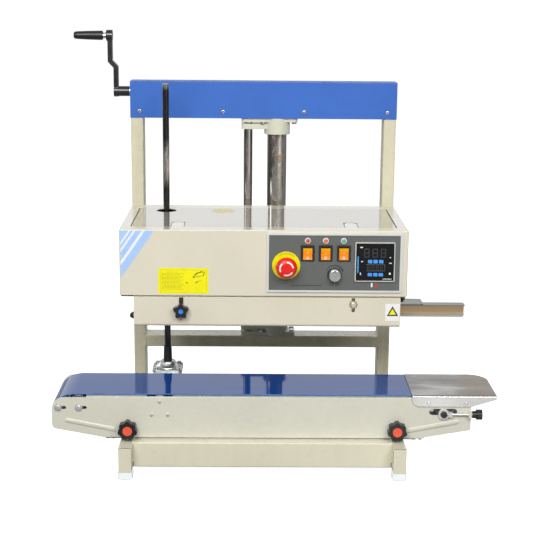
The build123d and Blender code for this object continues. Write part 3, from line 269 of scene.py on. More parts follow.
CREAM = (0.742, 0.698, 0.556)
CREAM_Y = (0.740, 0.700, 0.510)
CREAM_C = (0.716, 0.704, 0.590)
cream_head = paint("cream_head", CREAM, r0=0.10, r1=0.20, peel=0.05, wave=0.10, dirt=0.18, coat=0.7)
# painted shade: the lid takes the head's cream scaled to 0.58, a darker copy standing for shade on its top face
cream_lid_shaded = paint("cream_lid_shaded", scaled(CREAM, 0.58), r0=0.045, r1=0.10, peel=0.02, wave=0.07, dirt=0.15, coat=0.9, ior=1.62)
cream_frame = paint("cream_frame", CREAM_Y, r0=0.22, r1=0.36, peel=0.12, wave=0.10, dirt=0.5, streak=0.35, coat=0.3)
cream_base = paint("cream_base", (0.775, 0.745, 0.575), r0=0.24, r1=0.40, peel=0.12, wave=0.14, dirt=0.40, streak=0.12, coat=0.25)
cream_conv = paint("cream_conveyor", CREAM_C, r0=0.20, r1=0.34, peel=0.10, wave=0.12, dirt=0.06, coat=0.4)
cream_cast = paint("cream_casting", (0.680, 0.672, 0.548), r0=0.26, r1=0.42, peel=0.18, wave=0.5, dirt=0.5, coat=0.3)
blue_paint = paint("blue_hammered", (0.064, 0.170, 0.565), spread=0.10, r0=0.30, r1=0.44, peel=0.2, wave=0.12, dirt=0.35, coat=0.0, ior=1.15,
                   dirt_col=(0.02, 0.05, 0.25), cells=0.35)


def make_belt():
    m = Mat("belt_blue", IOR=1.42, Specular_Tint=(0.60, 0.86, 1.0, 1.0))
    base = m.ramp(m.noise(9, 3, stretch=(0.3, 1, 1)), (0.3, (0.005, 0.053, 0.265)), (0.7, (0.008, 0.068, 0.310)))
    # lighter streaks of colour along the belt's length
    lighter_streaks = m.grey(m.noise(70, 3, stretch=(0.04, 1, 1)), (0.62, 0.0), (0.74, 0.35))
    m.color(m.mix(lighter_streaks, base, (0.03, 0.10, 0.36)))
    m.roughness(m.grey(m.noise(30, 4, stretch=(0.2, 1, 1)), (0.3, 0.04), (0.7, 0.09)))
    m.bump(m.noise(12, 2, stretch=(0.5, 1, 1)), 0.08, 0.001)
    m.bump(m.voronoi(1500), 0.02, 0.0001)
    return m.m


def make_column():
    """Ground tube, oiled, with rust and old grease on its upper half; its flanks are painted dark as shade and a bright
    streak is painted on as a highlight.
    """
    m = Mat("column_steel", metal=1.0)
    lines = m.noise(120, 3, stretch=(1, 1, 0.02))
    c = m.ramp(lines, (0.3, (0.46, 0.445, 0.42)), (0.7, (0.72, 0.705, 0.675)))
    up = m.node("ShaderNodeMapRange")
    up.clamp = True
    m.link(m.axis(2), up.inputs[0])
    up.inputs[1].default_value, up.inputs[2].default_value = 0.50, 0.62
    patch = m.noise(22, 9, 0.75, stretch=(1, 1, 0.35), dist=0.6)
    left = m.math("MULTIPLY", m.band(0, -0.010, 0.008, 0.004), m.math("MULTIPLY", up.outputs[0], 0.10))
    k = m.grey(m.math("ADD", m.math("ADD", patch, left), m.math("MULTIPLY", up.outputs[0], 0.07)), (0.54, 0.0), (0.66, 0.95))
    # painted shade: both flanks of the tube, found by x, are painted dark
    painted_dark_flank = m.math("SUBTRACT", 1.0, m.band(0, -0.0090, 0.0210, 0.0035))
    c = m.mix(m.math("MULTIPLY", painted_dark_flank, 0.85), c, (0.09, 0.085, 0.08))
    # painted highlight: a bright vertical streak just off the tube's centre
    c = m.mix(m.math("MULTIPLY", m.band(0, 0.0100, 0.0150, 0.0025), 0.8), c, (0.92, 0.915, 0.90))
    grime = m.ramp(m.noise(60, 8, 0.7), (0.35, (0.035, 0.028, 0.022)), (0.5, (0.16, 0.08, 0.04)), (0.65, (0.30, 0.15, 0.07)))
    m.color(m.mix(k, c, grime))
    m.metallic(m.math("SUBTRACT", 1.0, m.math("MULTIPLY", k, 0.8)))
    m.roughness(m.math("ADD", m.grey(lines, (0.3, 0.06), (0.7, 0.14)), m.math("MULTIPLY", k, 0.35)))
    m.bump(m.noise(420, 5, stretch=(1, 1, 0.3)), 0.15, 0.0003)
    return m.m


def make_rod():
    """Ground guide rod, painted dark on its flanks as shade, with a few rust specks."""
    m = Mat("rod_steel", metal=1.0)
    n = m.noise(90, 6, 0.62, stretch=(1, 1, 0.03))
    c = m.ramp(n, (0.30, (0.46, 0.445, 0.42)), (0.70, (0.72, 0.70, 0.67)))
    # painted shade: the rod's flanks, found by x, are painted dark
    painted_dark_flank = m.math("SUBTRACT", 1.0, m.band(0, -0.0600, -0.0490, 0.0018))
    c = m.mix(m.math("MULTIPLY", painted_dark_flank, 0.8), c, (0.10, 0.095, 0.09))
    k = m.grey(m.math("MULTIPLY", m.noise(38, 8, 0.72), m.noise(9, 3)), (0.26, 0.0), (0.38, 0.35))
    m.color(m.mix(k, c, (0.20, 0.09, 0.04)))
    m.metallic(m.math("SUBTRACT", 1.0, m.math("MULTIPLY", k, 0.85)))
    m.roughness(m.grey(m.noise(150, 4, stretch=(1, 1, 0.03)), (0.3, 0.07), (0.7, 0.16)))
    m.bump(m.noise(500, 3, stretch=(1, 1, 0.03)), 0.12, 0.0003)
    return m.m


def make_key():
    """Blackened shaft, worn bright near its top end; a bright band lower down is partly wear and partly painted
    highlight.
    """
    m = Mat("key_shaft_steel", metal=0.6, Coat_Weight=0.8, Coat_Roughness=0.12)
    n = m.noise(80, 7, 0.7, stretch=(1, 1, 0.15))
    base = m.ramp(n, (0.35, (0.008, 0.008, 0.009)), (0.7, (0.035, 0.033, 0.032)))
    w1 = m.band(2, 0.7245, 0.740, 0.004)
    # partly wear, partly painted highlight: bright band on the shaft's lower part
    worn_and_highlight_band = m.math("MULTIPLY", m.band(2, 0.545, 0.605, 0.020), 1.0)
    w = m.math("MULTIPLY", m.math("MAXIMUM", w1, worn_and_highlight_band), m.grey(n, (0.40, 0.25), (0.6, 1.0)))
    m.color(m.mix(w, base, (0.72, 0.67, 0.60)))
    m.roughness(m.grey(n, (0.3, 0.20), (0.7, 0.42)))
    m.bump(m.noise(600, 4), 0.2, 0.0002)
    return m.m


def make_stainless():
    m = Mat("stainless_sheet", metal=1.0, Anisotropic=0.35)
    n = m.noise(11, 7, 0.62, stretch=(0.5, 1.3, 1.3), dist=0.6)
    c = m.ramp(n, (0.32, (0.10, 0.093, 0.088)), (0.50, (0.20, 0.194, 0.189)), (0.68, (0.42, 0.415, 0.41)))
    # browned towards the tip
    c = m.mix(m.math("MULTIPLY", m.band(0, 0.370, 0.460, 0.012), m.grey(n, (0.25, 0.35), (0.7, 0.9))), c, (0.24, 0.185, 0.145))
    # painted highlight: the turned-down front and its fold are painted brighter than the top, as the lights fall on
    # them
    c = m.mix(m.band(2, 0.100, 0.1515, 0.0006), c, m.ramp(n, (0.30, (0.66, 0.65, 0.62)), (0.70, (0.86, 0.86, 0.84))))
    c = m.mix(m.band(2, 0.1515, 0.1543, 0.0004), c, (0.52, 0.515, 0.50))
    m.color(c)
    m.roughness(m.grey(m.noise(24, 5, stretch=(0.4, 1, 1)), (0.3, 0.16), (0.7, 0.34)))
    m.bump(m.noise(260, 4, stretch=(0.05, 1, 1)), 0.22, 0.0003)
    m.bump(m.noise(9, 2), 0.18, 0.002)
    return m.m


def make_guide():
    """Rolled stainless, coloured by height: the low lip painted bright as a highlight, the webs browned by heat and
    darkened as painted shade, the top dark grey.
    """
    m = Mat("guide_stainless", metal=1.0)
    z = m.node("ShaderNodeMapRange")
    z.clamp = True
    m.link(m.axis(2), z.inputs[0])
    z.inputs[1].default_value, z.inputs[2].default_value = 0.2960, 0.3190
    n = m.noise(30, 5, stretch=(0.25, 1, 1))
    zz = m.math("ADD", z.outputs[0], m.math("MULTIPLY", m.math("SUBTRACT", n, 0.5), 0.05))
    # painted light by height: bright lip, then webs brown from heat tint and painted shade, then the dark grey top
    c = m.ramp(zz, (0.25, (0.95, 0.94, 0.92)), (0.31, (0.45, 0.33, 0.20)), (0.83, (0.41, 0.28, 0.16)), (0.87, (0.20, 0.197, 0.194)))
    m.color(c)
    m.roughness(m.grey(n, (0.3, 0.26), (0.7, 0.40)))
    m.bump(m.noise(300, 4, stretch=(0.05, 1, 1)), 0.2, 0.0003)
    return m.m


def make_foot():
    m = Mat("foot_plastic", rough=0.35, Transmission_Weight=0.25, Subsurface_Weight=0.3, IOR=1.45)
    m.b.inputs["Subsurface Radius"].default_value = (0.004, 0.004, 0.004)
    m.color(m.ramp(m.noise(40, 4), (0.3, (0.78, 0.81, 0.83)), (0.7, (0.88, 0.90, 0.91))))
    m.roughness(m.grey(m.noise(60, 4), (0.3, 0.28), (0.7, 0.45)))
    # painted glow: a faint white emission lifts the feet out of the shade near the floor
    m.b.inputs["Emission Color"].default_value = (0.93, 0.97, 0.97, 1)
    m.b.inputs["Emission Strength"].default_value = 0.22
    m.bump(m.noise(90, 3), 0.3, 0.0008)
    return m.m


def make_amber():
    """Moulded amber rocker: its colour is painted lighter and yellower towards the top as a highlight, and it glows
    faintly in that colour.
    """
    m = Mat("amber_rocker", rough=0.22, IOR=1.30, Transmission_Weight=0.10)
    z = m.node("ShaderNodeMapRange")
    z.clamp = True
    m.link(m.axis(2), z.inputs[0])
    z.inputs[1].default_value, z.inputs[2].default_value = 0.4245, 0.4465
    zz = m.math("ADD", z.outputs[0], m.math("MULTIPLY", m.math("SUBTRACT", m.noise(120, 3), 0.5), 0.25))
    # painted highlight: colour lighter and yellower towards the top of the rocker
    c = m.ramp(zz, (0.02, (0.80, 0.27, 0.03)), (0.35, (0.86, 0.24, 0.008)), (0.68, (0.93, 0.33, 0.004)), (0.80, (1.0, 0.50, 0.006)))
    m.color(c)
    m.link(c, m.b.inputs["Emission Color"])
    m.b.inputs["Emission Strength"].default_value = 0.20
    m.roughness(m.grey(m.noise(90, 3), (0.3, 0.16), (0.7, 0.3)))
    m.bump(m.noise(300, 3), 0.12, 0.0003)
    return m.m


def make_band():
    m = Mat("band_ptfe", rough=0.4)
    w = m.node("ShaderNodeTexWave")
    w.inputs["Scale"].default_value = 260
    m.link(m.coords((0.4, 1, 1)), w.inputs["Vector"])
    m.color(m.mix(w.outputs["Fac"], (0.30, 0.19, 0.10), (0.42, 0.29, 0.17)))
    m.roughness(m.grey(m.noise(50, 3), (0.3, 0.3), (0.7, 0.5)))
    m.bump(w.outputs["Fac"], 0.3, 0.0002)
    return m.m


belt_blue = make_belt()
column_steel = make_column()
key_steel = make_key()
stainless = make_stainless()
guide_steel = make_guide()
foot_plastic = make_foot()
amber = make_amber()
band_ptfe = make_band()
rod_steel = make_rod()
zinc = metal("zinc_steel", (0.60, 0.595, 0.58), (0.80, 0.795, 0.78), 0.20, 0.36, scale=160, metalness=0.62)
nickel = metal("nickel_screw", (0.62, 0.58, 0.52), (0.80, 0.76, 0.70), 0.16, 0.30, scale=160)
bronze = metal("bearing_bronze", (0.42, 0.30, 0.14), (0.66, 0.48, 0.25), 0.2, 0.35, scale=70)
brass = metal("washer_brass", (0.62, 0.44, 0.22), (0.80, 0.60, 0.34), 0.2, 0.34, scale=120)
machined = metal("machined_steel", (0.38, 0.38, 0.38), (0.56, 0.56, 0.57), 0.2, 0.36, scale=90)
gear_steel = metal("gear_steel", (0.34, 0.34, 0.34), (0.55, 0.55, 0.54), 0.22, 0.4, scale=110, rust=0.15)
cast_iron = metal("carriage_iron", (0.16, 0.16, 0.16), (0.30, 0.30, 0.29), 0.35, 0.55, scale=60, bump=0.5, fine=240)
alu = metal("turned_aluminium", (0.60, 0.60, 0.61), (0.78, 0.78, 0.79), 0.22, 0.36, scale=80)
frame_alu = paint("frame_aluminium", (0.68, 0.70, 0.69), spread=0.05, r0=0.30, r1=0.42, peel=0.10, wave=0.05, dirt=0.08, coat=0.2)
gearbox_alloy = metal("gearbox_alloy", (0.42, 0.45, 0.44), (0.68, 0.71, 0.69), 0.28, 0.46, scale=60, bump=0.35, fine=300)
roller_steel = metal("roller_steel", (0.50, 0.50, 0.51), (0.70, 0.70, 0.71), 0.18, 0.32, brush=(1, 0.05, 1), scale=90)
black_paint = paint("black_paint", (0.012, 0.013, 0.015), spread=0.2, r0=0.18, r1=0.34, peel=0.15, wave=0.3, dirt=0.25, dirt_col=(0.05, 0.045, 0.04), coat=0.5)
chassis_steel = paint("chassis_dark", (0.030, 0.030, 0.032), spread=0.2, r0=0.35, r1=0.5, dirt=0.4, dirt_col=(0.07, 0.06, 0.05), coat=0.1)
motor_grey = paint("motor_grey", (0.09, 0.10, 0.105), spread=0.15, r0=0.3, r1=0.45, dirt=0.2, coat=0.2)
black_plastic = plastic("black_plastic", (0.013, 0.013, 0.014), (0.24, 0.40), grain=0.3)
black_gloss = plastic("black_gloss", (0.010, 0.010, 0.012), (0.10, 0.2), grain=0.05, coat=0.6)
window_black = plastic("window_black", (0.012, 0.013, 0.015), (0.06, 0.12), grain=0.02, IOR=1.2)
bezel_grey = plastic("bezel_grey", (0.55, 0.54, 0.51), (0.3, 0.45), spread=0.05)
panel_grey = plastic("panel_grey", srgb(97, 100, 97), (0.34, 0.46), spread=0.04, grain=0.15, grain_scale=1400)
estop_yellow = plastic("estop_yellow", (0.89, 0.79, 0.006), (0.22, 0.34), spread=0.06, IOR=1.35)
estop_red = plastic("estop_red", (0.82, 0.017, 0.013), (0.16, 0.28), spread=0.08, IOR=1.38, coat=0.15)
white_ink = plastic("white_ink", (0.88, 0.88, 0.86), (0.3, 0.45), spread=0.04)
grey_ink = plastic("grey_ink", (0.30, 0.30, 0.28), (0.35, 0.5), spread=0.08)
# dark ink for print; also used for the painted shadows in the lid's reveal and round its tongues
dark_ink_and_shadow = plastic("dark_ink_and_shadow", (0.030, 0.032, 0.034), (0.35, 0.5), spread=0.1)
button_blue = plastic("button_blue", (0.075, 0.33, 0.86), (0.2, 0.34), spread=0.08, coat=0.3)
cap_blue = plastic("cap_blue", (0.03, 0.25, 0.78), (0.22, 0.34), spread=0.08)
cap_orange = plastic("cap_orange", (0.90, 0.115, 0.055), (0.25, 0.38), spread=0.08)
lamp_red = plastic("lamp_red", (0.72, 0.055, 0.06), (0.12, 0.22), spread=0.1, coat=0.8)
lamp_orange = plastic("lamp_orange", (0.86, 0.16, 0.055), (0.12, 0.22), spread=0.1, coat=0.8)
lamp_green = plastic("lamp_green", (0.13, 0.42, 0.30), (0.12, 0.22), spread=0.1, coat=0.8)
decal_blue = plastic("decal_blue", srgb(172, 204, 255), (0.25, 0.35), spread=0.04)
decal_yellow = plastic("decal_yellow", (0.93, 0.86, 0.004), (0.25, 0.38), spread=0.04)
sticker_yellow = plastic("sticker_yellow", (0.70, 0.62, 0.22), (0.2, 0.3), spread=0.08)
ink_olive = plastic("ink_olive", (0.40, 0.36, 0.02), (0.3, 0.4), spread=0.1)
digit_off = plastic("digit_off", (0.050, 0.046, 0.043), (0.2, 0.3), spread=0.1)
# black rubber; also used for a painted shadow strip under the conveyor's front plate
rubber_and_shadow = plastic("boot_rubber", (0.012, 0.012, 0.012), (0.42, 0.6), grain=0.5)
rust_line = plastic("weld_rust", (0.20, 0.085, 0.04), (0.5, 0.7), spread=0.4, grain=0.6, grain_scale=500)
silver = metal("knob_silver", (0.52, 0.54, 0.54), (0.72, 0.74, 0.74), 0.2, 0.32, scale=120)

MAT = {
    "base_frame": cream_base, "upright_frame": cream_frame, "feet": foot_plastic, "beam_cover": blue_paint, "frame_screws": nickel,
    "conveyor_brackets": cream_base, "guide_columns": column_steel, "column_castings": cream_cast, "lift_bearings": bronze,
    "lead_screw": machined, "crank_shaft": machined, "crank_arm": black_paint, "crank_grip": black_plastic,
    "chassis_plate": chassis_steel, "head_shell": cream_head, "top_lid": cream_lid_shaded, "carriage": cast_iron, "front_guard": cream_head,
    "guard_knob": black_plastic, "control_panel": panel_grey, "estop_housing": estop_yellow, "estop_button": estop_red,
    "switch_housings": black_gloss, "rocker_1": amber, "rocker_2": amber, "rocker_3": amber, "speed_knob": silver,
    "temperature_controller": bezel_grey, "upper_buttons": button_blue, "lower_buttons": button_blue, "infeed_guides": guide_steel,
    "head_screws": zinc, "gear_plate": gear_steel, "drive_motor": motor_grey, "motor_gear": gear_steel, "shaft_gear": gear_steel,
    "front_drive_wheel": gear_steel, "rear_drive_wheel": gear_steel, "front_idler_wheel": alu, "rear_idler_wheel": alu,
    "sealing_bands": band_ptfe, "heater_blocks": brass, "cooling_blocks": alu, "front_side_plate": cream_conv,
    "rear_side_plate": cream_conv, "slider_bed": cream_conv, "conveyor_belt": belt_blue, "end_roller": roller_steel,
    "second_roller": roller_steel, "drive_drum": roller_steel, "tension_roller": roller_steel, "conveyor_screws": zinc,
    "tension_carrier": zinc, "tension_knob": black_plastic, "infeed_plate": stainless, "gearbox": gearbox_alloy,
    "key_shaft": key_steel, "shaft_boot": rubber_and_shadow, "clamp_knob_left": black_plastic, "clamp_knob_right": black_plastic,
}

# face rules on nodes of several solids: (test on the face's centre, normal and corner points in the design frame, material)
def far(vs, i, j, a, b):
    """Largest distance of a face's corners from an axis, seen along the third direction."""
    return max(math.hypot(v[i] - a, v[j] - b) for v in vs)


RULES = {
    "control_panel": [
        (lambda c, n, vs: c[1] < -2.05 and far(vs, 0, 2, 82.4, 459.0) < 4.2, lamp_red),
        (lambda c, n, vs: c[1] < -2.05 and far(vs, 0, 2, 116.2, 459.0) < 4.2, lamp_orange),
        (lambda c, n, vs: c[1] < -2.05 and far(vs, 0, 2, 150.0, 459.0) < 4.2, lamp_green),
        (lambda c, n, vs: c[0] < 9.6 or c[0] > 256.7 or c[2] < 363.3 or c[2] > 469.1 or c[1] < -2.6, frame_alu),
    ],
    "temperature_controller": [
        (lambda c, n, vs: c[1] > -5.6 and c[1] < 0 and all(173.5 < v[0] < 245.5 and 383.0 < v[2] < 455.0 for v in vs), window_black),
        (lambda c, n, vs: c[1] > -1.9, black_plastic),
    ],
    "guard_knob": [(lambda c, n, vs: far(vs, 0, 2, -156.5, 322.5) < 4.6 and c[1] < -11.9, cap_blue),
                   (lambda c, n, vs: far(vs, 0, 2, -156.5, 322.5) < 3.2, zinc)],
    "clamp_knob_left": [(lambda c, n, vs: far(vs, 0, 2, -260.0, 87.5) < 9.3 and c[1] < -22.5, cap_orange),
                        (lambda c, n, vs: far(vs, 0, 2, -260.0, 87.5) < 4.2, zinc)],
    "clamp_knob_right": [(lambda c, n, vs: far(vs, 0, 2, 260.0, 87.5) < 9.3 and c[1] < -22.5, cap_orange),
                         (lambda c, n, vs: far(vs, 0, 2, 260.0, 87.5) < 4.2, zinc)],
    "front_guard": [(lambda c, n, vs: c[0] < -247.02, black_plastic)],
    "chassis_plate": [(lambda c, n, vs: max(v[1] for v in vs) < 6.5 and min(v[2] for v in vs) > 347.0, cream_frame)],
    "head_screws": [(lambda c, n, vs: 1.99 <= c[1] < 3.6 and far(vs, 0, 2, 171.0, 334.5) < 8.2, brass),
                    (lambda c, n, vs: c[0] > 250, black_plastic)],
    "switch_housings": [(lambda c, n, vs: c[1] > 200 and (far(vs, 0, 2, -170.0, 388.0) < 3.0 or far(vs, 0, 2, -130.0, 388.0) < 3.0
                                                          or (far(vs, 0, 2, -150.0, 388.0) < 8.6 and max(v[0] for v in vs) - min(v[0] for v in vs) < 2.1
                                                              and max(v[2] for v in vs) - min(v[2] for v in vs) < 4.1)), nickel)],
    "crank_arm": [(lambda c, n, vs: c[0] < -326.05 and far(vs, 1, 2, 326.0, 822.6) < 6.3, nickel)],
    "guide_columns": [(lambda c, n, vs: c[0] < -20, rod_steel)],
    "carriage": [(lambda c, n, vs: far(vs, 0, 1, 28.5, 326.0) < 13.3, bronze)],
    "tension_knob": [(lambda c, n, vs: far(vs, 1, 2, -4.2, 118.0) < 2.9, zinc)],
    "tension_carrier": [(lambda c, n, vs: c[1] < -5.3 and far(vs, 0, 2, 350.8, 118.0) < 7.0, dark_ink_and_shadow),
                        (lambda c, n, vs: -0.4 < c[1] < 5.4, chassis_steel)],
    "speed_knob": [(lambda c, n, vs: c[1] > -5.3 and far(vs, 0, 2, 133.6, 394.2) > 11.3, black_gloss)],
    "estop_housing": [(lambda c, n, vs: c[1] < -4.6 or c[1] > -1.9, black_plastic)],
    "lift_bearings": [(lambda c, n, vs: c[0] < -240 or c[2] > 681.5, machined)],
    "heater_blocks": [(lambda c, n, vs: c[2] > 319.1, machined)],
}

# nodes rebuilt with worked edges: chamfer width in mm and segments; worked() sets the smallest edge angle
EDGES = {
    "base_frame": (0.5, 2), "upright_frame": (0.5, 2), "beam_cover": (0.5, 2), "conveyor_brackets": (0.6, 2),
    "column_castings": (1.3, 3), "crank_arm": (2.2, 3), "crank_grip": (0.5, 2), "head_shell": (0.4, 2), "top_lid": (0.4, 2),
    "front_guard": (0.4, 2), "guard_knob": (1.3, 3), "control_panel": (0.5, 2), "estop_housing": (0.4, 2), "estop_button": (0.5, 2),
    "switch_housings": (0.5, 2), "rocker_1": (0.7, 3), "rocker_2": (0.7, 3), "rocker_3": (0.7, 3), "speed_knob": (0.5, 2),
    "temperature_controller": (0.5, 2), "upper_buttons": (0.5, 2), "lower_buttons": (0.5, 2), "infeed_guides": (0.35, 2),
    "front_side_plate": (0.4, 2), "rear_side_plate": (0.4, 2), "slider_bed": (0.3, 2), "infeed_plate": (0.45, 2),
    "gearbox": (1.0, 3), "tension_carrier": (0.5, 2), "clamp_knob_left": (2.0, 3), "clamp_knob_right": (2.0, 3),
    "carriage": (1.0, 2), "drive_motor": (0.8, 2), "conveyor_belt": (0.4, 2), "feet": (0.8, 3),
}


def set_materials(mesh, node):
    base = MAT[node]
    rules = RULES.get(node, [])
    mesh.materials.clear()
    mesh.materials.append(base)
    idx = {base.name: 0}
    for _, m in rules:
        if m.name not in idx:
            idx[m.name] = len(mesh.materials)
            mesh.materials.append(m)
    for p in mesh.polygons:
        c = D(p.center)
        n = p.normal
        vs = [D(mesh.vertices[i].co) for i in p.vertices] if rules else None
        k = 0
        for test, m in rules:
            if test(c, n, vs):
                k = idx[m.name]
                break
        p.material_index = k


def smooth(mesh, deg=32):
    mesh.polygons.foreach_set("use_smooth", [True] * len(mesh.polygons))
    mesh.set_sharp_from_angle(angle=math.radians(deg))


def link(o):
    scene.collection.objects.link(o)
    return o


def worked(node, width, seg):
    """The CAD node's own shape with its sharp edges broken, standing for that node."""
    src = NODES[node]
    bm = bmesh.new()
    bm.from_mesh(src.data)
    bmesh.ops.remove_doubles(bm, verts=bm.verts, dist=2e-6)
    bmesh.ops.dissolve_limit(bm, angle_limit=math.radians(0.4), use_dissolve_boundaries=False, verts=bm.verts, edges=bm.edges,
                             delimit={"NORMAL"})
    me = bpy.data.meshes.new(node + "_worked")
    bm.to_mesh(me)
    bm.free()
    for a in [a.name for a in me.attributes if a.name in ("custom_normal",)]:
        me.attributes.remove(me.attributes[a])
    set_materials(me, node)
    smooth(me)
    o = link(bpy.data.objects.new(node + "_worked", me))
    b = o.modifiers.new("edges", "BEVEL")
    b.width = width / 1000
    b.segments = seg
    b.limit_method = "ANGLE"
    b.angle_limit = math.radians(38)
    b.use_clamp_overlap = True
    b.miter_outer = "MITER_ARC"
    b.harden_normals = False
    w = o.modifiers.new("normals", "WEIGHTED_NORMAL")
    w.keep_sharp = True
    w.weight = 80
    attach(o, src["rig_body"])
    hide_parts(node)
    return o


for node, o in NODES.items():
    if node in EDGES:
        worked(node, *EDGES[node])
    else:
        set_materials(o.data, node)


# ------------------------------------------------------------------ mesh kit for added pieces
def piece(name, bm, mats, body, sm=True, bevel=0.0, seg=2):
    me = bpy.data.meshes.new(name)
    bmesh.ops.recalc_face_normals(bm, faces=bm.faces)
    bm.to_mesh(me)
    bm.free()
    for m in (mats if isinstance(mats, (list, tuple)) else [mats]):
        me.materials.append(m)
    if sm:
        smooth(me, 40)
    o = link(bpy.data.objects.new(name, me))
    if bevel:
        b = o.modifiers.new("edges", "BEVEL")
        b.width, b.segments, b.limit_method, b.angle_limit = bevel / 1000, seg, "ANGLE", math.radians(40)
    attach(o, body)
    return o


def prism_y(bm, pts, y0, y1, mi=0):
    """Closed prism from (x, z) points between two depths."""
    a = [bm.verts.new(P(x, y0, z)) for x, z in pts]
    b = [bm.verts.new(P(x, y1, z)) for x, z in pts]
    fs = [bm.faces.new(a), bm.faces.new(list(reversed(b)))]
    n = len(pts)
    for i in range(n):
        j = (i + 1) % n
        fs.append(bm.faces.new((a[j], a[i], b[i], b[j])))
    for f in fs:
        f.material_index = mi


def prism_z(bm, pts, z0, z1, mi=0):
    a = [bm.verts.new(P(x, y, z0)) for x, y in pts]
    b = [bm.verts.new(P(x, y, z1)) for x, y in pts]
    fs = [bm.faces.new(a), bm.faces.new(list(reversed(b)))]
    n = len(pts)
    for i in range(n):
        j = (i + 1) % n
        fs.append(bm.faces.new((a[j], a[i], b[i], b[j])))
    for f in fs:
        f.material_index = mi


def round_rect(x0, x1, z0, z1, r, n=5):
    out = []
    for cx, cz, a0 in ((x1 - r, z1 - r, 0), (x0 + r, z1 - r, 90), (x0 + r, z0 + r, 180), (x1 - r, z0 + r, 270)):
        for i in range(n + 1):
            a = math.radians(a0 + 90 * i / n)
            out.append((cx + r * math.cos(a), cz + r * math.sin(a)))
    return out


def disc(cx, cz, r, n=32):
    return [(cx + r * math.cos(2 * math.pi * i / n), cz + r * math.sin(2 * math.pi * i / n)) for i in range(n)]


def tube(bm, pts, rad, n=8, mi=0, wob=0.0, seed=0, closed=False):
    """Tube along points in the design frame; the radius wanders by wob."""
    rings = []
    q = [P(*p) for p in pts]
    m = len(q)
    prev = None
    for i, p in enumerate(q):
        t = (q[(i + 1) % m] - q[i - 1]) if closed else (q[min(i + 1, m - 1)] - q[max(i - 1, 0)])
        t.normalize()
        ref = prev if prev is not None else (Vector((0, 0, 1)) if abs(t.z) < 0.9 else Vector((1, 0, 0)))
        u = (ref - t * ref.dot(t)).normalized()
        v = t.cross(u)
        prev = u
        r = rad / 1000 * (1 + wob * noise.noise(Vector((i * 0.9, seed, 0.3))) + wob * 0.35 * math.sin(i * 1.9))
        rings.append([bm.verts.new(p + (u * math.cos(2 * math.pi * k / n) + v * math.sin(2 * math.pi * k / n)) * r) for k in range(n)])
    for i in range(m if closed else m - 1):
        a, b = rings[i], rings[(i + 1) % m]
        for k in range(n):
            f = bm.faces.new((a[k], a[(k + 1) % n], b[(k + 1) % n], b[k]))
            f.material_index = mi
    if not closed:
        bm.faces.new(list(reversed(rings[0]))).material_index = mi
        bm.faces.new(rings[-1]).material_index = mi


def run(a, b, step=1.6):
    a, b = Vector(a), Vector(b)
    n = max(2, int((b - a).length / step))
    return [tuple(a.lerp(b, i / n)) for i in range(n + 1)]


def lathe_y(bm, cx, cz, prof, n=48, mi=0, a0=0.0, a1=360.0):
    """Revolves (radius, y) points about an axis along Y; a part turn leaves an open strip."""
    full = abs(a1 - a0) > 359.9
    k = n if full else n + 1
    rings = []
    for i in range(k):
        a = math.radians(a0 + (a1 - a0) * i / n)
        rings.append([bm.verts.new(P(cx + r * math.cos(a), y, cz + r * math.sin(a))) for r, y in prof])
    for i in range(n):
        a, b = rings[i], rings[(i + 1) % k]
        for j in range(len(prof) - 1):
            try:
                bm.faces.new((a[j], b[j], b[j + 1], a[j + 1])).material_index = mi
            except ValueError:
                pass
    return rings


# ------------------------------------------------------------------ weld beads on the stand
def welds():
    bm = bmesh.new()
    k = 0
    for s in (-1, 1):
        xi, xo = s * 250.0, s * 275.0
        for a, b in (((xi, 301, 64.9), (xo, 301, 64.9)), ((xi, 351, 64.9), (xo, 351, 64.9)), ((xi, 301, 64.9), (xi, 351, 64.9))):
            tube(bm, run(a, b), 1.5, wob=0.45, seed=k)
            k += 1
        # front base beam to the leg
        for a, b in (((xi, -22, 17), (xi, -22, 62.5)), ((xi, 3, 17), (xi, 3, 62.5)), ((xi, -20, 64.5), (xi, 1, 64.5))):
            tube(bm, run(a, b), 1.7, wob=0.5, seed=k)
            k += 1
        # cross beams to the uprights; the upper beam, under its cover, is skipped
        for z0, z1 in ((163.5, 188.5), (656.0, 681.0)):
            for a, b in (((xi, 301, z0 + 2), (xi, 301, z1 - 2)), ((xi, 351, z0 + 2), (xi, 351, z1 - 2)),
                         ((xi, 303, z0), (xi, 349, z0)), ((xi, 303, z1), (xi, 349, z1))):
                if z0 > 600:
                    continue
                tube(bm, run(a, b), 1.4, wob=0.45, seed=k)
                k += 1
        # bracket foot on the leg
        xc = s * 260.0
        for y in (2.2, 147.8):
            tube(bm, run((xc - 12.3, y, 64.9), (xc + 12.3, y, 64.9)), 1.6, wob=0.5, seed=k)
            k += 1
    piece("weld_beads", bm, cream_base, "stand")
    # bare, rusted line along the end caps' upper seams and the front beam's corners
    bm = bmesh.new()
    for s in (-1, 1):
        xa, xb = sorted((s * 274.2, s * 250.8))
        tube(bm, run((xa, -54.6, 64.25), (xb, -54.6, 64.25), 1.2), 0.55, n=6, wob=0.5, seed=3 + s)
        tube(bm, run((s * 250.2, -53.0, 62.0), (s * 250.2, -53.0, 18.0), 1.5), 0.5, n=6, wob=0.6, seed=5 + s)
        tube(bm, run((s * 249.9, -23.4, 18.0), (s * 249.9, -23.4, 26.0), 1.2), 1.2, n=6, wob=0.5, seed=9 + s)
    piece("weld_seams", bm, rust_line, "stand")


welds()


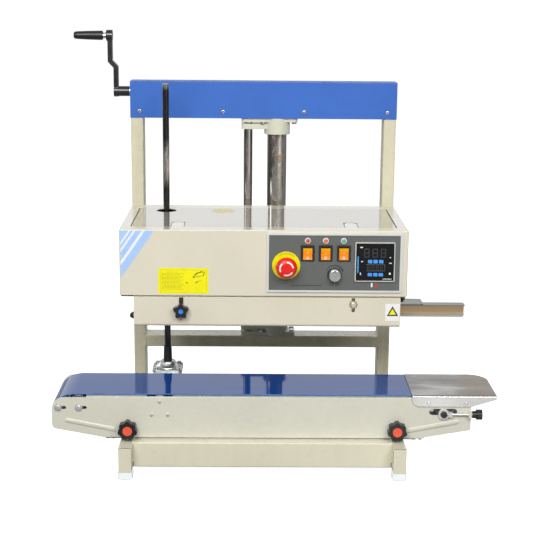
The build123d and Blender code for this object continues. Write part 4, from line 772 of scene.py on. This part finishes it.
# ------------------------------------------------------------------ head: printed film, labels, marks
def front_decals():
    y = -0.14
    # light blue corner film with plain white bands
    bm = bmesh.new()
    tri = [(-270.2, 475.8), (-206.9, 475.8), (-269.6, 384.7)]
    prism_y(bm, tri, y, -0.01, 0)

    def cut(z_at_left, w, slope=1.453):
        """Band parallel to the long side, clipped to the triangle."""
        pts = []
        for zz in (z_at_left, z_at_left - w):
            xt = -269.8 + (475.6 - zz) / slope
            if zz > 475:
                continue
            pts.append(((-269.9, zz), (min(xt, -207.5), 475.6)))
        (a, b), (c, d) = pts
        return [a, c, d, b]
    for z1, w in ((453.0, 5.6), (440.0, 6.4), (417.0, 9.0)):
        prism_y(bm, cut(z1, w), y - 0.05, y - 0.005, 1)
    piece("corner_film", bm, [decal_blue, white_ink], "head")

    # yellow label: border of dots, rows of plain dashes and a plain outline figure
    bm = bmesh.new()
    x0, x1, z0, z1 = -199.5, -104.6, 354.6, 404.1
    lab = [(x0, z0), (x1, z0), (x1, z1), (x0 + 4.5, z1 + 0.3), (x0, z1 - 4.5)]
    prism_y(bm, lab, y, -0.01, 0)
    rnd = random.Random(7)
    yy = (y - 0.04, y - 0.004)
    n = 46
    for i in range(n):
        xa = x0 + 4 + (x1 - x0 - 8) * i / n
        for zc in (z0 + 3.0, z1 - 3.2):
            prism_y(bm, [(xa, zc - 0.3), (xa + 1.2, zc - 0.3), (xa + 1.2, zc + 0.3), (xa, zc + 0.3)], *yy, 1)
    for i in range(22):
        za = z0 + 4 + (z1 - z0 - 9) * i / 22
        for xc in (x0 + 4.0, x1 - 3.6):
            prism_y(bm, [(xc - 0.3, za), (xc + 0.3, za), (xc + 0.3, za + 1.2), (xc - 0.3, za + 1.2)], *yy, 1)
    zr = z1 - 8.0
    row = 0
    while zr > z0 + 6:
        xa = x0 + 7.0 + (10 if row == 0 else 0)
        end = x0 + 50 - rnd.uniform(0, 9) - (10 if row == 0 else 0)
        while xa < end:
            w = rnd.uniform(2.0, 5.5)
            prism_y(bm, [(xa, zr), (min(xa + w, end), zr), (min(xa + w, end), zr + 0.75), (xa, zr + 0.75)], *yy, 1)
            xa += w + 1.1
        zr -= 2.55
        row += 1
    # outline figure on the right: a plain box on a bar
    def line(a, b, w=0.8):
        d = Vector((b[0] - a[0], b[1] - a[1])).normalized()
        nrm = (-d.y * w / 2, d.x * w / 2)
        prism_y(bm, [(a[0] + nrm[0], a[1] + nrm[1]), (b[0] + nrm[0], b[1] + nrm[1]), (b[0] - nrm[0], b[1] - nrm[1]), (a[0] - nrm[0], a[1] - nrm[1])],
                yy[0] - 0.01, yy[1], 2)
    fx, fz = -134.0, 386.0
    for a, b, w in (((0, 0), (8, 9), 1.4), ((8, 9), (22, 11), 0.9), ((22, 11), (20, 4), 1.3), ((20, 4), (0, 0), 0.8), ((4, 6), (18, 13), 1.1),
                    ((-13, -9), (-10, -11), 1.8), ((5, -10), (9, -8), 1.8), ((9, -8), (15, -5), 0.6)):
        line((fx + a[0], fz + a[1]), (fx + b[0], fz + b[1]), w)
    piece("yellow_label", bm, [decal_yellow, ink_olive, dark_ink_and_shadow], "head")

    # round yellow sticker on the lid, half faded
    bm = bmesh.new()
    prism_z(bm, disc(-81.0, 205.0, 25.0, 48), 478.005, 478.10, 0)
    piece("lid_sticker", bm, sticker_yellow, "lid")

    # plain triangle mark on the guard
    bm = bmesh.new()
    prism_y(bm, round_rect(232.6, 259.6, 302.5, 336.0, 1.2), 3.38, 3.49, 0)
    prism_y(bm, [(235.0, 312.0), (257.4, 312.0), (246.2, 331.5)], 3.33, 3.375, 1)
    prism_y(bm, [(239.6, 314.8), (252.8, 314.8), (246.2, 326.4)], 3.28, 3.325, 2)
    piece("guard_mark", bm, [white_ink, dark_ink_and_shadow, decal_yellow], "guard")


front_decals()


def lid_lines():
    """Painted shadow: dark strips in the reveal at both ends of the lid and round the locating tongues; closing strips
    under the shell.
    """
    bm = bmesh.new()
    # painted shadow: dark strips on the ledge and up the wall in the gap at each end of the lid
    for s in (-1, 1):
        xa, xb = sorted((s * 253.42, s * 251.7))
        prism_z(bm, [(xa, 31.5), (xb, 31.5), (xb, 238.5), (xa, 238.5)], 476.52, 476.62, 0)
        xa, xb = sorted((s * 253.45, s * 253.25))
        prism_z(bm, [(xa, 31.5), (xb, 31.5), (xb, 238.5), (xa, 238.5)], 476.64, 477.94, 0)
    # painted shadow: thin dark arcs round each tongue notch on the lid
    for x in (-164.5, 167.0):
        yc = 69.0
        pts_o = [(x + 12.0 * math.cos(math.radians(a)), yc + 12.0 * math.sin(math.radians(a))) for a in range(20, 161, 10)]
        pts_i = [(x + 10.9 * math.cos(math.radians(a)), yc + 10.9 * math.sin(math.radians(a))) for a in range(20, 161, 10)]
        for i in range(len(pts_o) - 1):
            prism_z(bm, [pts_o[i], pts_o[i + 1], pts_i[i + 1], pts_i[i]], 478.01, 478.06, 0)
    piece("lid_reveal_shadow", bm, dark_ink_and_shadow, "head", sm=False)
    bm = bmesh.new()
    prism_y(bm, [(-244.8, 345.8), (258.8, 345.8), (258.8, 350.8), (-244.8, 350.8)], 5.35, 6.1, 0)
    prism_y(bm, [(-270.0, 347.2), (-247.5, 347.2), (-247.5, 350.9), (-270.0, 350.9)], 5.6, 6.15, 1)
    piece("shell_lip", bm, [cream_frame, dark_ink_and_shadow], "head", sm=False)


lid_lines()


def estop_marks():
    """Three white arcs inlaid in the red mushroom."""
    bm = bmesh.new()
    cx, cz = 42.1, 411.0
    top = [(0, 24.0), (7, 23.7), (13, 22.4), (17.5, 19.8), (19.6, 16.2)]

    def yat(r):
        for (r0, h0), (r1, h1) in zip(top, top[1:]):
            if r0 <= r <= r1:
                return -11.0 - (h0 + (h1 - h0) * (r - r0) / (r1 - r0))
        return -30
    for a0 in (8, 128, 248):
        prof = [(11.0, yat(11.0) + 0.6), (11.0, yat(11.0) - 0.22), (12.2, yat(12.2) - 0.26), (13.8, yat(13.8) - 0.22), (13.8, yat(13.8) + 0.8)]
        rings = lathe_y(bm, cx, cz, prof, n=28, a0=a0, a1=a0 + 80)
        bm.faces.new(rings[0])
        bm.faces.new(list(reversed(rings[-1])))
    piece("estop_arcs", bm, white_ink, "estop_button")


estop_marks()


def panel_marks():
    bm = bmesh.new()
    y1, y0 = -2.005, -2.12
    # light rings round the lamps
    for x in (82.4, 116.2, 150.0):
        rings = []
        for i in range(32):
            a = 2 * math.pi * i / 32
            rings.append([bm.verts.new(P(x + r * math.cos(a), yy, 459.0 + r * math.sin(a))) for r, yy in ((4.1, y1), (4.1, y0 - 0.3), (5.4, y0 - 0.3), (5.4, y1))])
        for i in range(32):
            a, b = rings[i], rings[(i + 1) % 32]
            for j in range(3):
                bm.faces.new((a[j], b[j], b[j + 1], a[j + 1])).material_index = 0
    # the speed knob's scale, thick at one end, and its plate of two plain signs below
    cx, cz = 133.6, 394.2
    n = 30
    out_, in_ = [], []
    for i in range(n + 1):
        t = i / n
        a = math.radians(160 - 140 * t)
        out_.append((cx + (18.0 + 0.6 * t) * math.cos(a), cz + (18.0 + 0.6 * t) * math.sin(a)))
        in_.append((cx + (17.2 - 1.5 * t) * math.cos(a), cz + (17.2 - 1.5 * t) * math.sin(a)))
    for i in range(n):
        prism_y(bm, [out_[i], out_[i + 1], in_[i + 1], in_[i]], y0, y1, 1)
    for sx in (-5.2, 5.2):
        ring = disc(cx + sx, cz - 18.8, 3.5, 20)
        inner = disc(cx + sx, cz - 18.8, 2.3, 20)
        for i in range(20):
            j = (i + 1) % 20
            prism_y(bm, [ring[i], ring[j], inner[j], inner[i]], y0, y1, 1)
        prism_y(bm, [(cx + sx - 1.2, cz - 19.1), (cx + sx + 1.2, cz - 19.1), (cx + sx + 1.2, cz - 18.5), (cx + sx - 1.2, cz - 18.5)], y0, y1, 1)
        if sx > 0:
            prism_y(bm, [(cx + sx - 0.3, cz - 20.0), (cx + sx + 0.3, cz - 20.0), (cx + sx + 0.3, cz - 17.6), (cx + sx - 0.3, cz - 17.6)], y0 - 0.01, y1, 1)
    # fine printed line where the panel's title stands, without lettering
    xa = 53.5
    rnd = random.Random(3)
    while xa < 108:
        w = rnd.uniform(1.2, 3.0)
        prism_y(bm, [(xa, 371.7), (xa + w, 371.7), (xa + w, 373.3), (xa, 373.3)], y0, y1, 1)
        xa += w + 0.7
    # two plain marks below the controller: white block and red drop
    prism_y(bm, round_rect(203.0, 206.2, 369.8, 378.2, 0.6, 3), y0, y1, 0)
    prism_y(bm, [(211.0, 370.6), (213.4, 369.4), (215.4, 370.8), (215.0, 374.4), (213.4, 379.0), (212.0, 374.4)], y0, y1, 3)
    # mark row round the yellow ring
    piece("panel_print", bm, [white_ink, dark_ink_and_shadow, grey_ink, estop_red], "head", sm=False)

    bm = bmesh.new()
    ex, ez = 42.1, 411.0
    for i in range(11):
        a = math.radians(128 - 7.6 * i)
        r = 23.6
        c = (ex + r * math.cos(a), ez + r * math.sin(a))
        t = (-math.sin(a), math.cos(a))
        w, h = (0.95, 1.1) if i % 3 else (0.7, 1.1)
        pts = []
        for u, v in ((-w, -h), (w, -h), (w, h), (-w, h)):
            pts.append((c[0] + t[0] * u + math.cos(a) * v, c[1] + t[1] * u + math.sin(a) * v))
        prism_y(bm, pts, -4.56, -4.49, 0)
    piece("ring_ticks", bm, ink_olive, "head", sm=False)


panel_marks()


def rocker_marks():
    """White bar and ring moulded into each rocker's face."""
    for i, x in enumerate((82.4, 116.2, 150.5)):
        bm = bmesh.new()
        z0, yc = 435.2, 1.0

        def face_pt(dx, dz, lift):
            # face curve of the rocker, turned nine degrees about its pivot
            yv = -6.4 - 2.6 * (dz / 10.9) ** 2 - lift
            a = math.radians(9.0)
            ry, rz = yv - yc, dz
            return (x + dx, yc + ry * math.cos(a) - rz * math.sin(a), z0 + ry * math.sin(a) + rz * math.cos(a))

        def slab(dx0, dx1, dz0, dz1):
            lo = [bm.verts.new(P(*face_pt(dx, dz, -0.25))) for dx, dz in ((dx0, dz0), (dx1, dz0), (dx1, dz1), (dx0, dz1))]
            hi = [bm.verts.new(P(*face_pt(dx, dz, 0.10))) for dx, dz in ((dx0, dz0), (dx1, dz0), (dx1, dz1), (dx0, dz1))]
            bm.faces.new(lo)
            bm.faces.new(list(reversed(hi)))
            for k in range(4):
                bm.faces.new((lo[(k + 1) % 4], lo[k], hi[k], hi[(k + 1) % 4]))
        slab(-0.4, 0.4, 0.6, 4.2)
        for k in range(14):
            a, b = 2 * math.pi * k / 14, 2 * math.pi * (k + 1) / 14
            ca, cb = (1.9 * math.cos(a), -7.0 + 1.9 * math.sin(a)), (1.9 * math.cos(b), -7.0 + 1.9 * math.sin(b))
            slab(min(ca[0], cb[0]) - 0.25, max(ca[0], cb[0]) + 0.25, min(ca[1], cb[1]) - 0.25, max(ca[1], cb[1]) + 0.25)
        piece("rocker_mark_%d" % (i + 1), bm, white_ink, "rocker_%d" % (i + 1), sm=False)


rocker_marks()


def controller_face():
    y1, y0 = -5.205, -5.30
    bm = bmesh.new()

    def seg7(cx, cz, w, h, t, mi):
        hw, hh = w / 2, h / 2
        for xa, xb, za, zb in ((-hw + t, hw - t, hh - t, hh), (-hw + t, hw - t, -t / 2, t / 2), (-hw + t, hw - t, -hh, -hh + t)):
            prism_y(bm, [(cx + xa, cz + za), (cx + xb, cz + za), (cx + xb, cz + zb), (cx + xa, cz + zb)], y0, y1, mi)
        for xs in (-hw, hw - t):
            for za, zb in ((0.3, hh - 0.3), (-hh + 0.3, -0.3)):
                prism_y(bm, [(cx + xs, cz + za), (cx + xs + t, cz + za), (cx + xs + t, cz + zb), (cx + xs, cz + zb)], y0, y1, mi)
    for k in range(3):
        seg7(193.5 + 15.6 * k, 436.5, 10.0, 17.0, 1.7, 1)
    for k in range(4):
        seg7(197.5 + 8.2 * k, 408.2, 5.2, 8.6, 0.9, 1)
    # plain upright blue bar on the left, small plain signs
    prism_y(bm, round_rect(176.2, 178.6, 398.0, 430.0, 0.8, 3), y0, y1, 2)
    for x, z, w, h in ((183.5, 447.2, 5.0, 2.0), (185.0, 420.0, 4.0, 1.6), (182.2, 396.5, 2.2, 4.6), (238.0, 428.0, 2.6, 2.2), (238.6, 417.0, 5.4, 1.8), (237.8, 396.8, 3.2, 4.0)):
        prism_y(bm, round_rect(x - w / 2, x + w / 2, z - h / 2, z + h / 2, 0.5, 3), y0, y1, 0)
    for k in range(7):
        xa = 224.5 + 2.5 * k
        prism_y(bm, [(xa, 385.7), (xa + 1.8, 385.7), (xa + 1.8, 387.3), (xa, 387.3)], y0, y1, 0)
    # thin framed window round the lower figures
    for a, b, c, d in ((193.0, 228.4, 402.0, 402.4), (193.0, 228.4, 414.0, 414.4), (228.0, 228.4, 402.0, 414.4)):
        prism_y(bm, [(a, c), (b, c), (b, d), (a, d)], y0, y1, 3)
    piece("controller_print", bm, [white_ink, digit_off, button_blue, grey_ink], "head", sm=False)


controller_face()


def knob_details():
    # fluted skirt on the speed knob
    bm = bmesh.new()
    cx, cz = 133.6, 394.2
    n = 72
    front, back = [], []
    for i in range(n):
        a = 2 * math.pi * i / n
        r = 11.35 + (0.22 if i % 2 else -0.10)
        front.append((cx + (r - 0.25) * math.cos(a), cz + (r - 0.25) * math.sin(a)))
        back.append((cx + r * math.cos(a), cz + r * math.sin(a)))
    va = [bm.verts.new(P(x, -14.9, z)) for x, z in front]
    vb = [bm.verts.new(P(x, -6.2, z)) for x, z in back]
    vi = [bm.verts.new(P(cx + 10.3 * math.cos(2 * math.pi * i / n), -15.2, cz + 10.3 * math.sin(2 * math.pi * i / n))) for i in range(n)]
    vj = [bm.verts.new(P(cx + 10.6 * math.cos(2 * math.pi * i / n), -6.2, cz + 10.6 * math.sin(2 * math.pi * i / n))) for i in range(n)]
    for i in range(n):
        j = (i + 1) % n
        bm.faces.new((va[i], va[j], vb[j], vb[i]))
        bm.faces.new((vi[j], vi[i], vb[i] if False else va[i], va[j]))
        bm.faces.new((vb[i], vb[j], vj[j], vj[i]))
    piece("speed_knob_flutes", bm, silver, "speed_knob", sm=False)


knob_details()


# ------------------------------------------------------------------ conveyor details
def belt_details():
    """The slanted splice across the belt; the belt's bright cut edges are coloured after it."""
    bm = bmesh.new()
    zt = 153.06
    a, b = Vector((-120.0, 8.4)), Vector((-86.0, 141.6))
    w = 0.7
    prism_z(bm, [(a.x, a.y), (a.x + w, a.y), (b.x + w, b.y), (b.x, b.y)], 152.98, zt, 0)
    piece("belt_splice", bm, splice, "conveyor", sm=False)


def rib_beads():
    """Soft rounded crown over each pressed rib of the front plate."""
    bm = bmesh.new()
    for (xa, za), (xb, zb) in (((-379.0, 101.5), (-287.0, 83.2)), ((283.0, 82.8), (378.0, 101.5))):
        d = Vector((xb - xa, zb - za))
        length = d.length
        d.normalize()
        nn = Vector((-d.y, d.x))
        rings = []
        m = 26
        for i in range(m + 1):
            # stations run past both ends and shrink there, like a coined rib
            t = i / m
            pos = -4.8 + (length + 9.6) * t
            over = max(0.0, -pos, pos - length)
            k = math.sqrt(max(0.0, 1.0 - (over / 4.8) ** 2))
            k = max(k, 0.02)
            c = Vector((xa, za)) + d * pos
            ring = []
            for j in range(13):
                a = math.pi * j / 12
                u = math.cos(a) * 4.8 * k
                hgt = 1.95 * k * math.sin(a)
                ring.append(bm.verts.new(P(c.x + nn.x * u, 0.12 - hgt - 0.12 * math.sin(a), c.y + nn.y * u)))
            rings.append(ring)
        for r0, r1 in zip(rings, rings[1:]):
            for j in range(12):
                bm.faces.new((r0[j], r0[j + 1], r1[j + 1], r1[j]))
            bm.faces.new((r0[12], r0[0], r1[0], r1[12]))
        bm.faces.new(rings[0])
        bm.faces.new(list(reversed(rings[-1])))
    bmesh.ops.recalc_face_normals(bm, faces=bm.faces)
    piece("rib_beads", bm, cream_conv, "conveyor")


rib_beads()


def plate_shadow():
    """Painted shadow: a dark strip along the side plate's lower fold, in the black rubber finish."""
    bm = bmesh.new()
    prism_y(bm, [(-300.0, 65.3), (299.0, 65.3), (299.0, 66.95), (-300.0, 66.95)], 0.35, 1.35, 0)
    piece("plate_edge_shadow_strip", bm, rubber_and_shadow, "conveyor", sm=False)


plate_shadow()


splice = plastic("belt_splice_line", (0.03, 0.09, 0.34), (0.25, 0.35), spread=0.1)
edge_blue = plastic("belt_edge", (0.06, 0.20, 0.60), (0.3, 0.45), spread=0.15, grain=0.4, grain_scale=700)
belt_details()
belt = bpy.data.objects["conveyor_belt_worked"].data
belt.materials.append(edge_blue)
for p in belt.polygons:
    if abs(p.normal.y) > 0.9:
        p.material_index = len(belt.materials) - 1


# ------------------------------------------------------------------ stage and light
FLOOR_BOUNCE, FLOOR_GLOW, FLOOR_GLOSS, WORLD_FILL = 0.20, 0.93, 0.20, 0.10


def stage():
    bm = bmesh.new()
    n, r = 96, 90.0
    c = bm.verts.new((0, 0, -0.0004))
    ring = [bm.verts.new((r * math.cos(2 * math.pi * i / n), r * math.sin(2 * math.pi * i / n), -0.0004)) for i in range(n)]
    for i in range(n):
        bm.faces.new((c, ring[i], ring[(i + 1) % n]))
    me = bpy.data.meshes.new("floor")
    bm.to_mesh(me)
    bm.free()
    m = bpy.data.materials.new("pale_floor")
    m.use_nodes = True
    t = m.node_tree
    t.nodes.clear()
    out = t.nodes.new("ShaderNodeOutputMaterial")
    # bright to the camera, dimmer as a bounce light
    dif = t.nodes.new("ShaderNodeBsdfDiffuse")
    em = t.nodes.new("ShaderNodeEmission")
    em.inputs[0].default_value = (1, 1, 1, 1)
    lp = t.nodes.new("ShaderNodeLightPath")
    shade = t.nodes.new("ShaderNodeMapRange")
    shade.inputs[3].default_value = FLOOR_BOUNCE
    shade.inputs[4].default_value = 0.80
    t.links.new(lp.outputs["Is Camera Ray"], shade.inputs[0])
    t.links.new(shade.outputs[0], dif.inputs[0])
    kk = t.nodes.new("ShaderNodeMath")
    kk.operation = "MULTIPLY"
    kk.inputs[1].default_value = FLOOR_GLOW
    t.links.new(lp.outputs["Is Camera Ray"], kk.inputs[0])
    # in polished metal the floor shows as light and dark panels, by direction from the machine
    tc = t.nodes.new("ShaderNodeTexCoord")
    sp = t.nodes.new("ShaderNodeSeparateXYZ")
    t.links.new(tc.outputs["Object"], sp.inputs[0])
    neg = t.nodes.new("ShaderNodeMath")
    neg.operation = "MULTIPLY"
    neg.inputs[1].default_value = -1.0
    t.links.new(sp.outputs[1], neg.inputs[0])
    az = t.nodes.new("ShaderNodeMath")
    az.operation = "ARCTAN2"
    t.links.new(sp.outputs[0], az.inputs[0])
    t.links.new(neg.outputs[0], az.inputs[1])
    turn = t.nodes.new("ShaderNodeMapRange")
    turn.inputs[1].default_value = -math.pi
    turn.inputs[2].default_value = math.pi
    t.links.new(az.outputs[0], turn.inputs[0])
    fr = t.nodes.new("ShaderNodeValToRGB")
    e = fr.color_ramp.elements
    stops = ((-180, 0.30), (-112, 0.35), (-85, 0.03), (-50, 0.06), (-22, 0.16), (0, FLOOR_GLOSS), (20, 0.50), (35, 0.85), (50, 0.50), (66, 0.05),
             (88, 0.03), (105, 0.45), (125, 0.40), (150, 0.08), (180, 0.30))
    while len(e) < len(stops):
        e.new(0.5)
    for i, (deg, v) in enumerate(stops):
        e[i].position = (deg + 180.0) / 360.0
        e[i].color = (v, v, v, 1)
    t.links.new(turn.outputs[0], fr.inputs[0])
    g2 = t.nodes.new("ShaderNodeMath")
    g2.operation = "MULTIPLY"
    t.links.new(fr.outputs[0], g2.inputs[1])
    t.links.new(lp.outputs["Is Glossy Ray"], g2.inputs[0])
    mx = t.nodes.new("ShaderNodeMath")
    mx.operation = "MAXIMUM"
    t.links.new(kk.outputs[0], mx.inputs[0])
    t.links.new(g2.outputs[0], mx.inputs[1])
    t.links.new(mx.outputs[0], em.inputs[1])
    add = t.nodes.new("ShaderNodeAddShader")
    t.links.new(dif.outputs[0], add.inputs[0])
    t.links.new(em.outputs[0], add.inputs[1])
    t.links.new(add.outputs[0], out.inputs[0])
    me.materials.append(m)
    o = link(bpy.data.objects.new("floor", me))

    w = bpy.data.worlds.new("studio")
    scene.world = w
    w.use_nodes = True
    t = w.node_tree
    t.nodes.clear()
    out = t.nodes.new("ShaderNodeOutputWorld")
    bg = t.nodes.new("ShaderNodeBackground")
    bg.inputs[0].default_value = (1, 1, 1, 1)
    lp = t.nodes.new("ShaderNodeLightPath")
    k = t.nodes.new("ShaderNodeMath")
    k.operation = "MAXIMUM"
    t.links.new(lp.outputs["Is Camera Ray"], k.inputs[0])
    t.links.new(lp.outputs["Is Glossy Ray"], k.inputs[1])
    mr = t.nodes.new("ShaderNodeMapRange")
    mr.inputs[3].default_value = WORLD_FILL
    t.links.new(k.outputs[0], mr.inputs[0])
    # a photographer's cove: white behind the machine, dark at its sides, dim in front
    tc = t.nodes.new("ShaderNodeTexCoord")
    sp = t.nodes.new("ShaderNodeSeparateXYZ")
    t.links.new(tc.outputs["Generated"], sp.inputs[0])
    ma = t.nodes.new("ShaderNodeMath")
    ma.operation = "MULTIPLY_ADD"
    ma.inputs[1].default_value = 0.5
    ma.inputs[2].default_value = 0.5
    t.links.new(sp.outputs[1], ma.inputs[0])
    cr = t.nodes.new("ShaderNodeValToRGB")
    e = cr.color_ramp.elements
    stops = ((0.0, 0.38), (0.20, 0.33), (0.38, 0.15), (0.60, 0.13), (0.74, 0.85), (0.84, 1.0))
    while len(e) < len(stops):
        e.new(0.5)
    for i, (pos, v) in enumerate(stops):
        e[i].position = pos
        e[i].color = (v, v, v, 1)
    t.links.new(ma.outputs[0], cr.inputs[0])
    cam = t.nodes.new("ShaderNodeMath")
    cam.operation = "MAXIMUM"
    t.links.new(lp.outputs["Is Camera Ray"], cam.inputs[0])
    t.links.new(cr.outputs[0], cam.inputs[1])
    t.links.new(cam.outputs[0], mr.inputs[4])
    t.links.new(mr.outputs[0], bg.inputs[1])
    t.links.new(bg.outputs[0], out.inputs[0])

    def area(name, loc, target, size, power, col=(1, 1, 1)):
        ld = bpy.data.lights.new(name, "AREA")
        ld.shape = "RECTANGLE"
        ld.size, ld.size_y = size
        ld.energy = power
        ld.color = col
        lo = link(bpy.data.objects.new(name, ld))
        lo.location = loc
        d = Vector(target) - Vector(loc)
        lo.rotation_euler = d.to_track_quat("-Z", "Y").to_euler()
        return lo
    area("key_softbox", (-0.7, -2.6, 2.1), (0, 0, 0.4), (1.5, 1.5), 67)
    area("fill_softbox", (1.1, -2.5, 1.95), (0, 0, 0.4), (1.3, 1.1), 40)
    area("top_softbox", (0.0, -0.5, 2.6), (0, 0, 0.4), (2.0, 1.4), 3)
    area("back_left_softbox", (-2.0, 2.1, 1.15), (0, 0, 0.4), (1.2, 1.2), 18)
    area("back_right_softbox", (2.0, 2.1, 1.15), (0, 0, 0.4), (1.2, 1.2), 18)
    area("side_softbox", (-2.6, -0.6, 1.2), (0.1, 0.1, 0.45), (1.0, 1.0), 9)


stage()
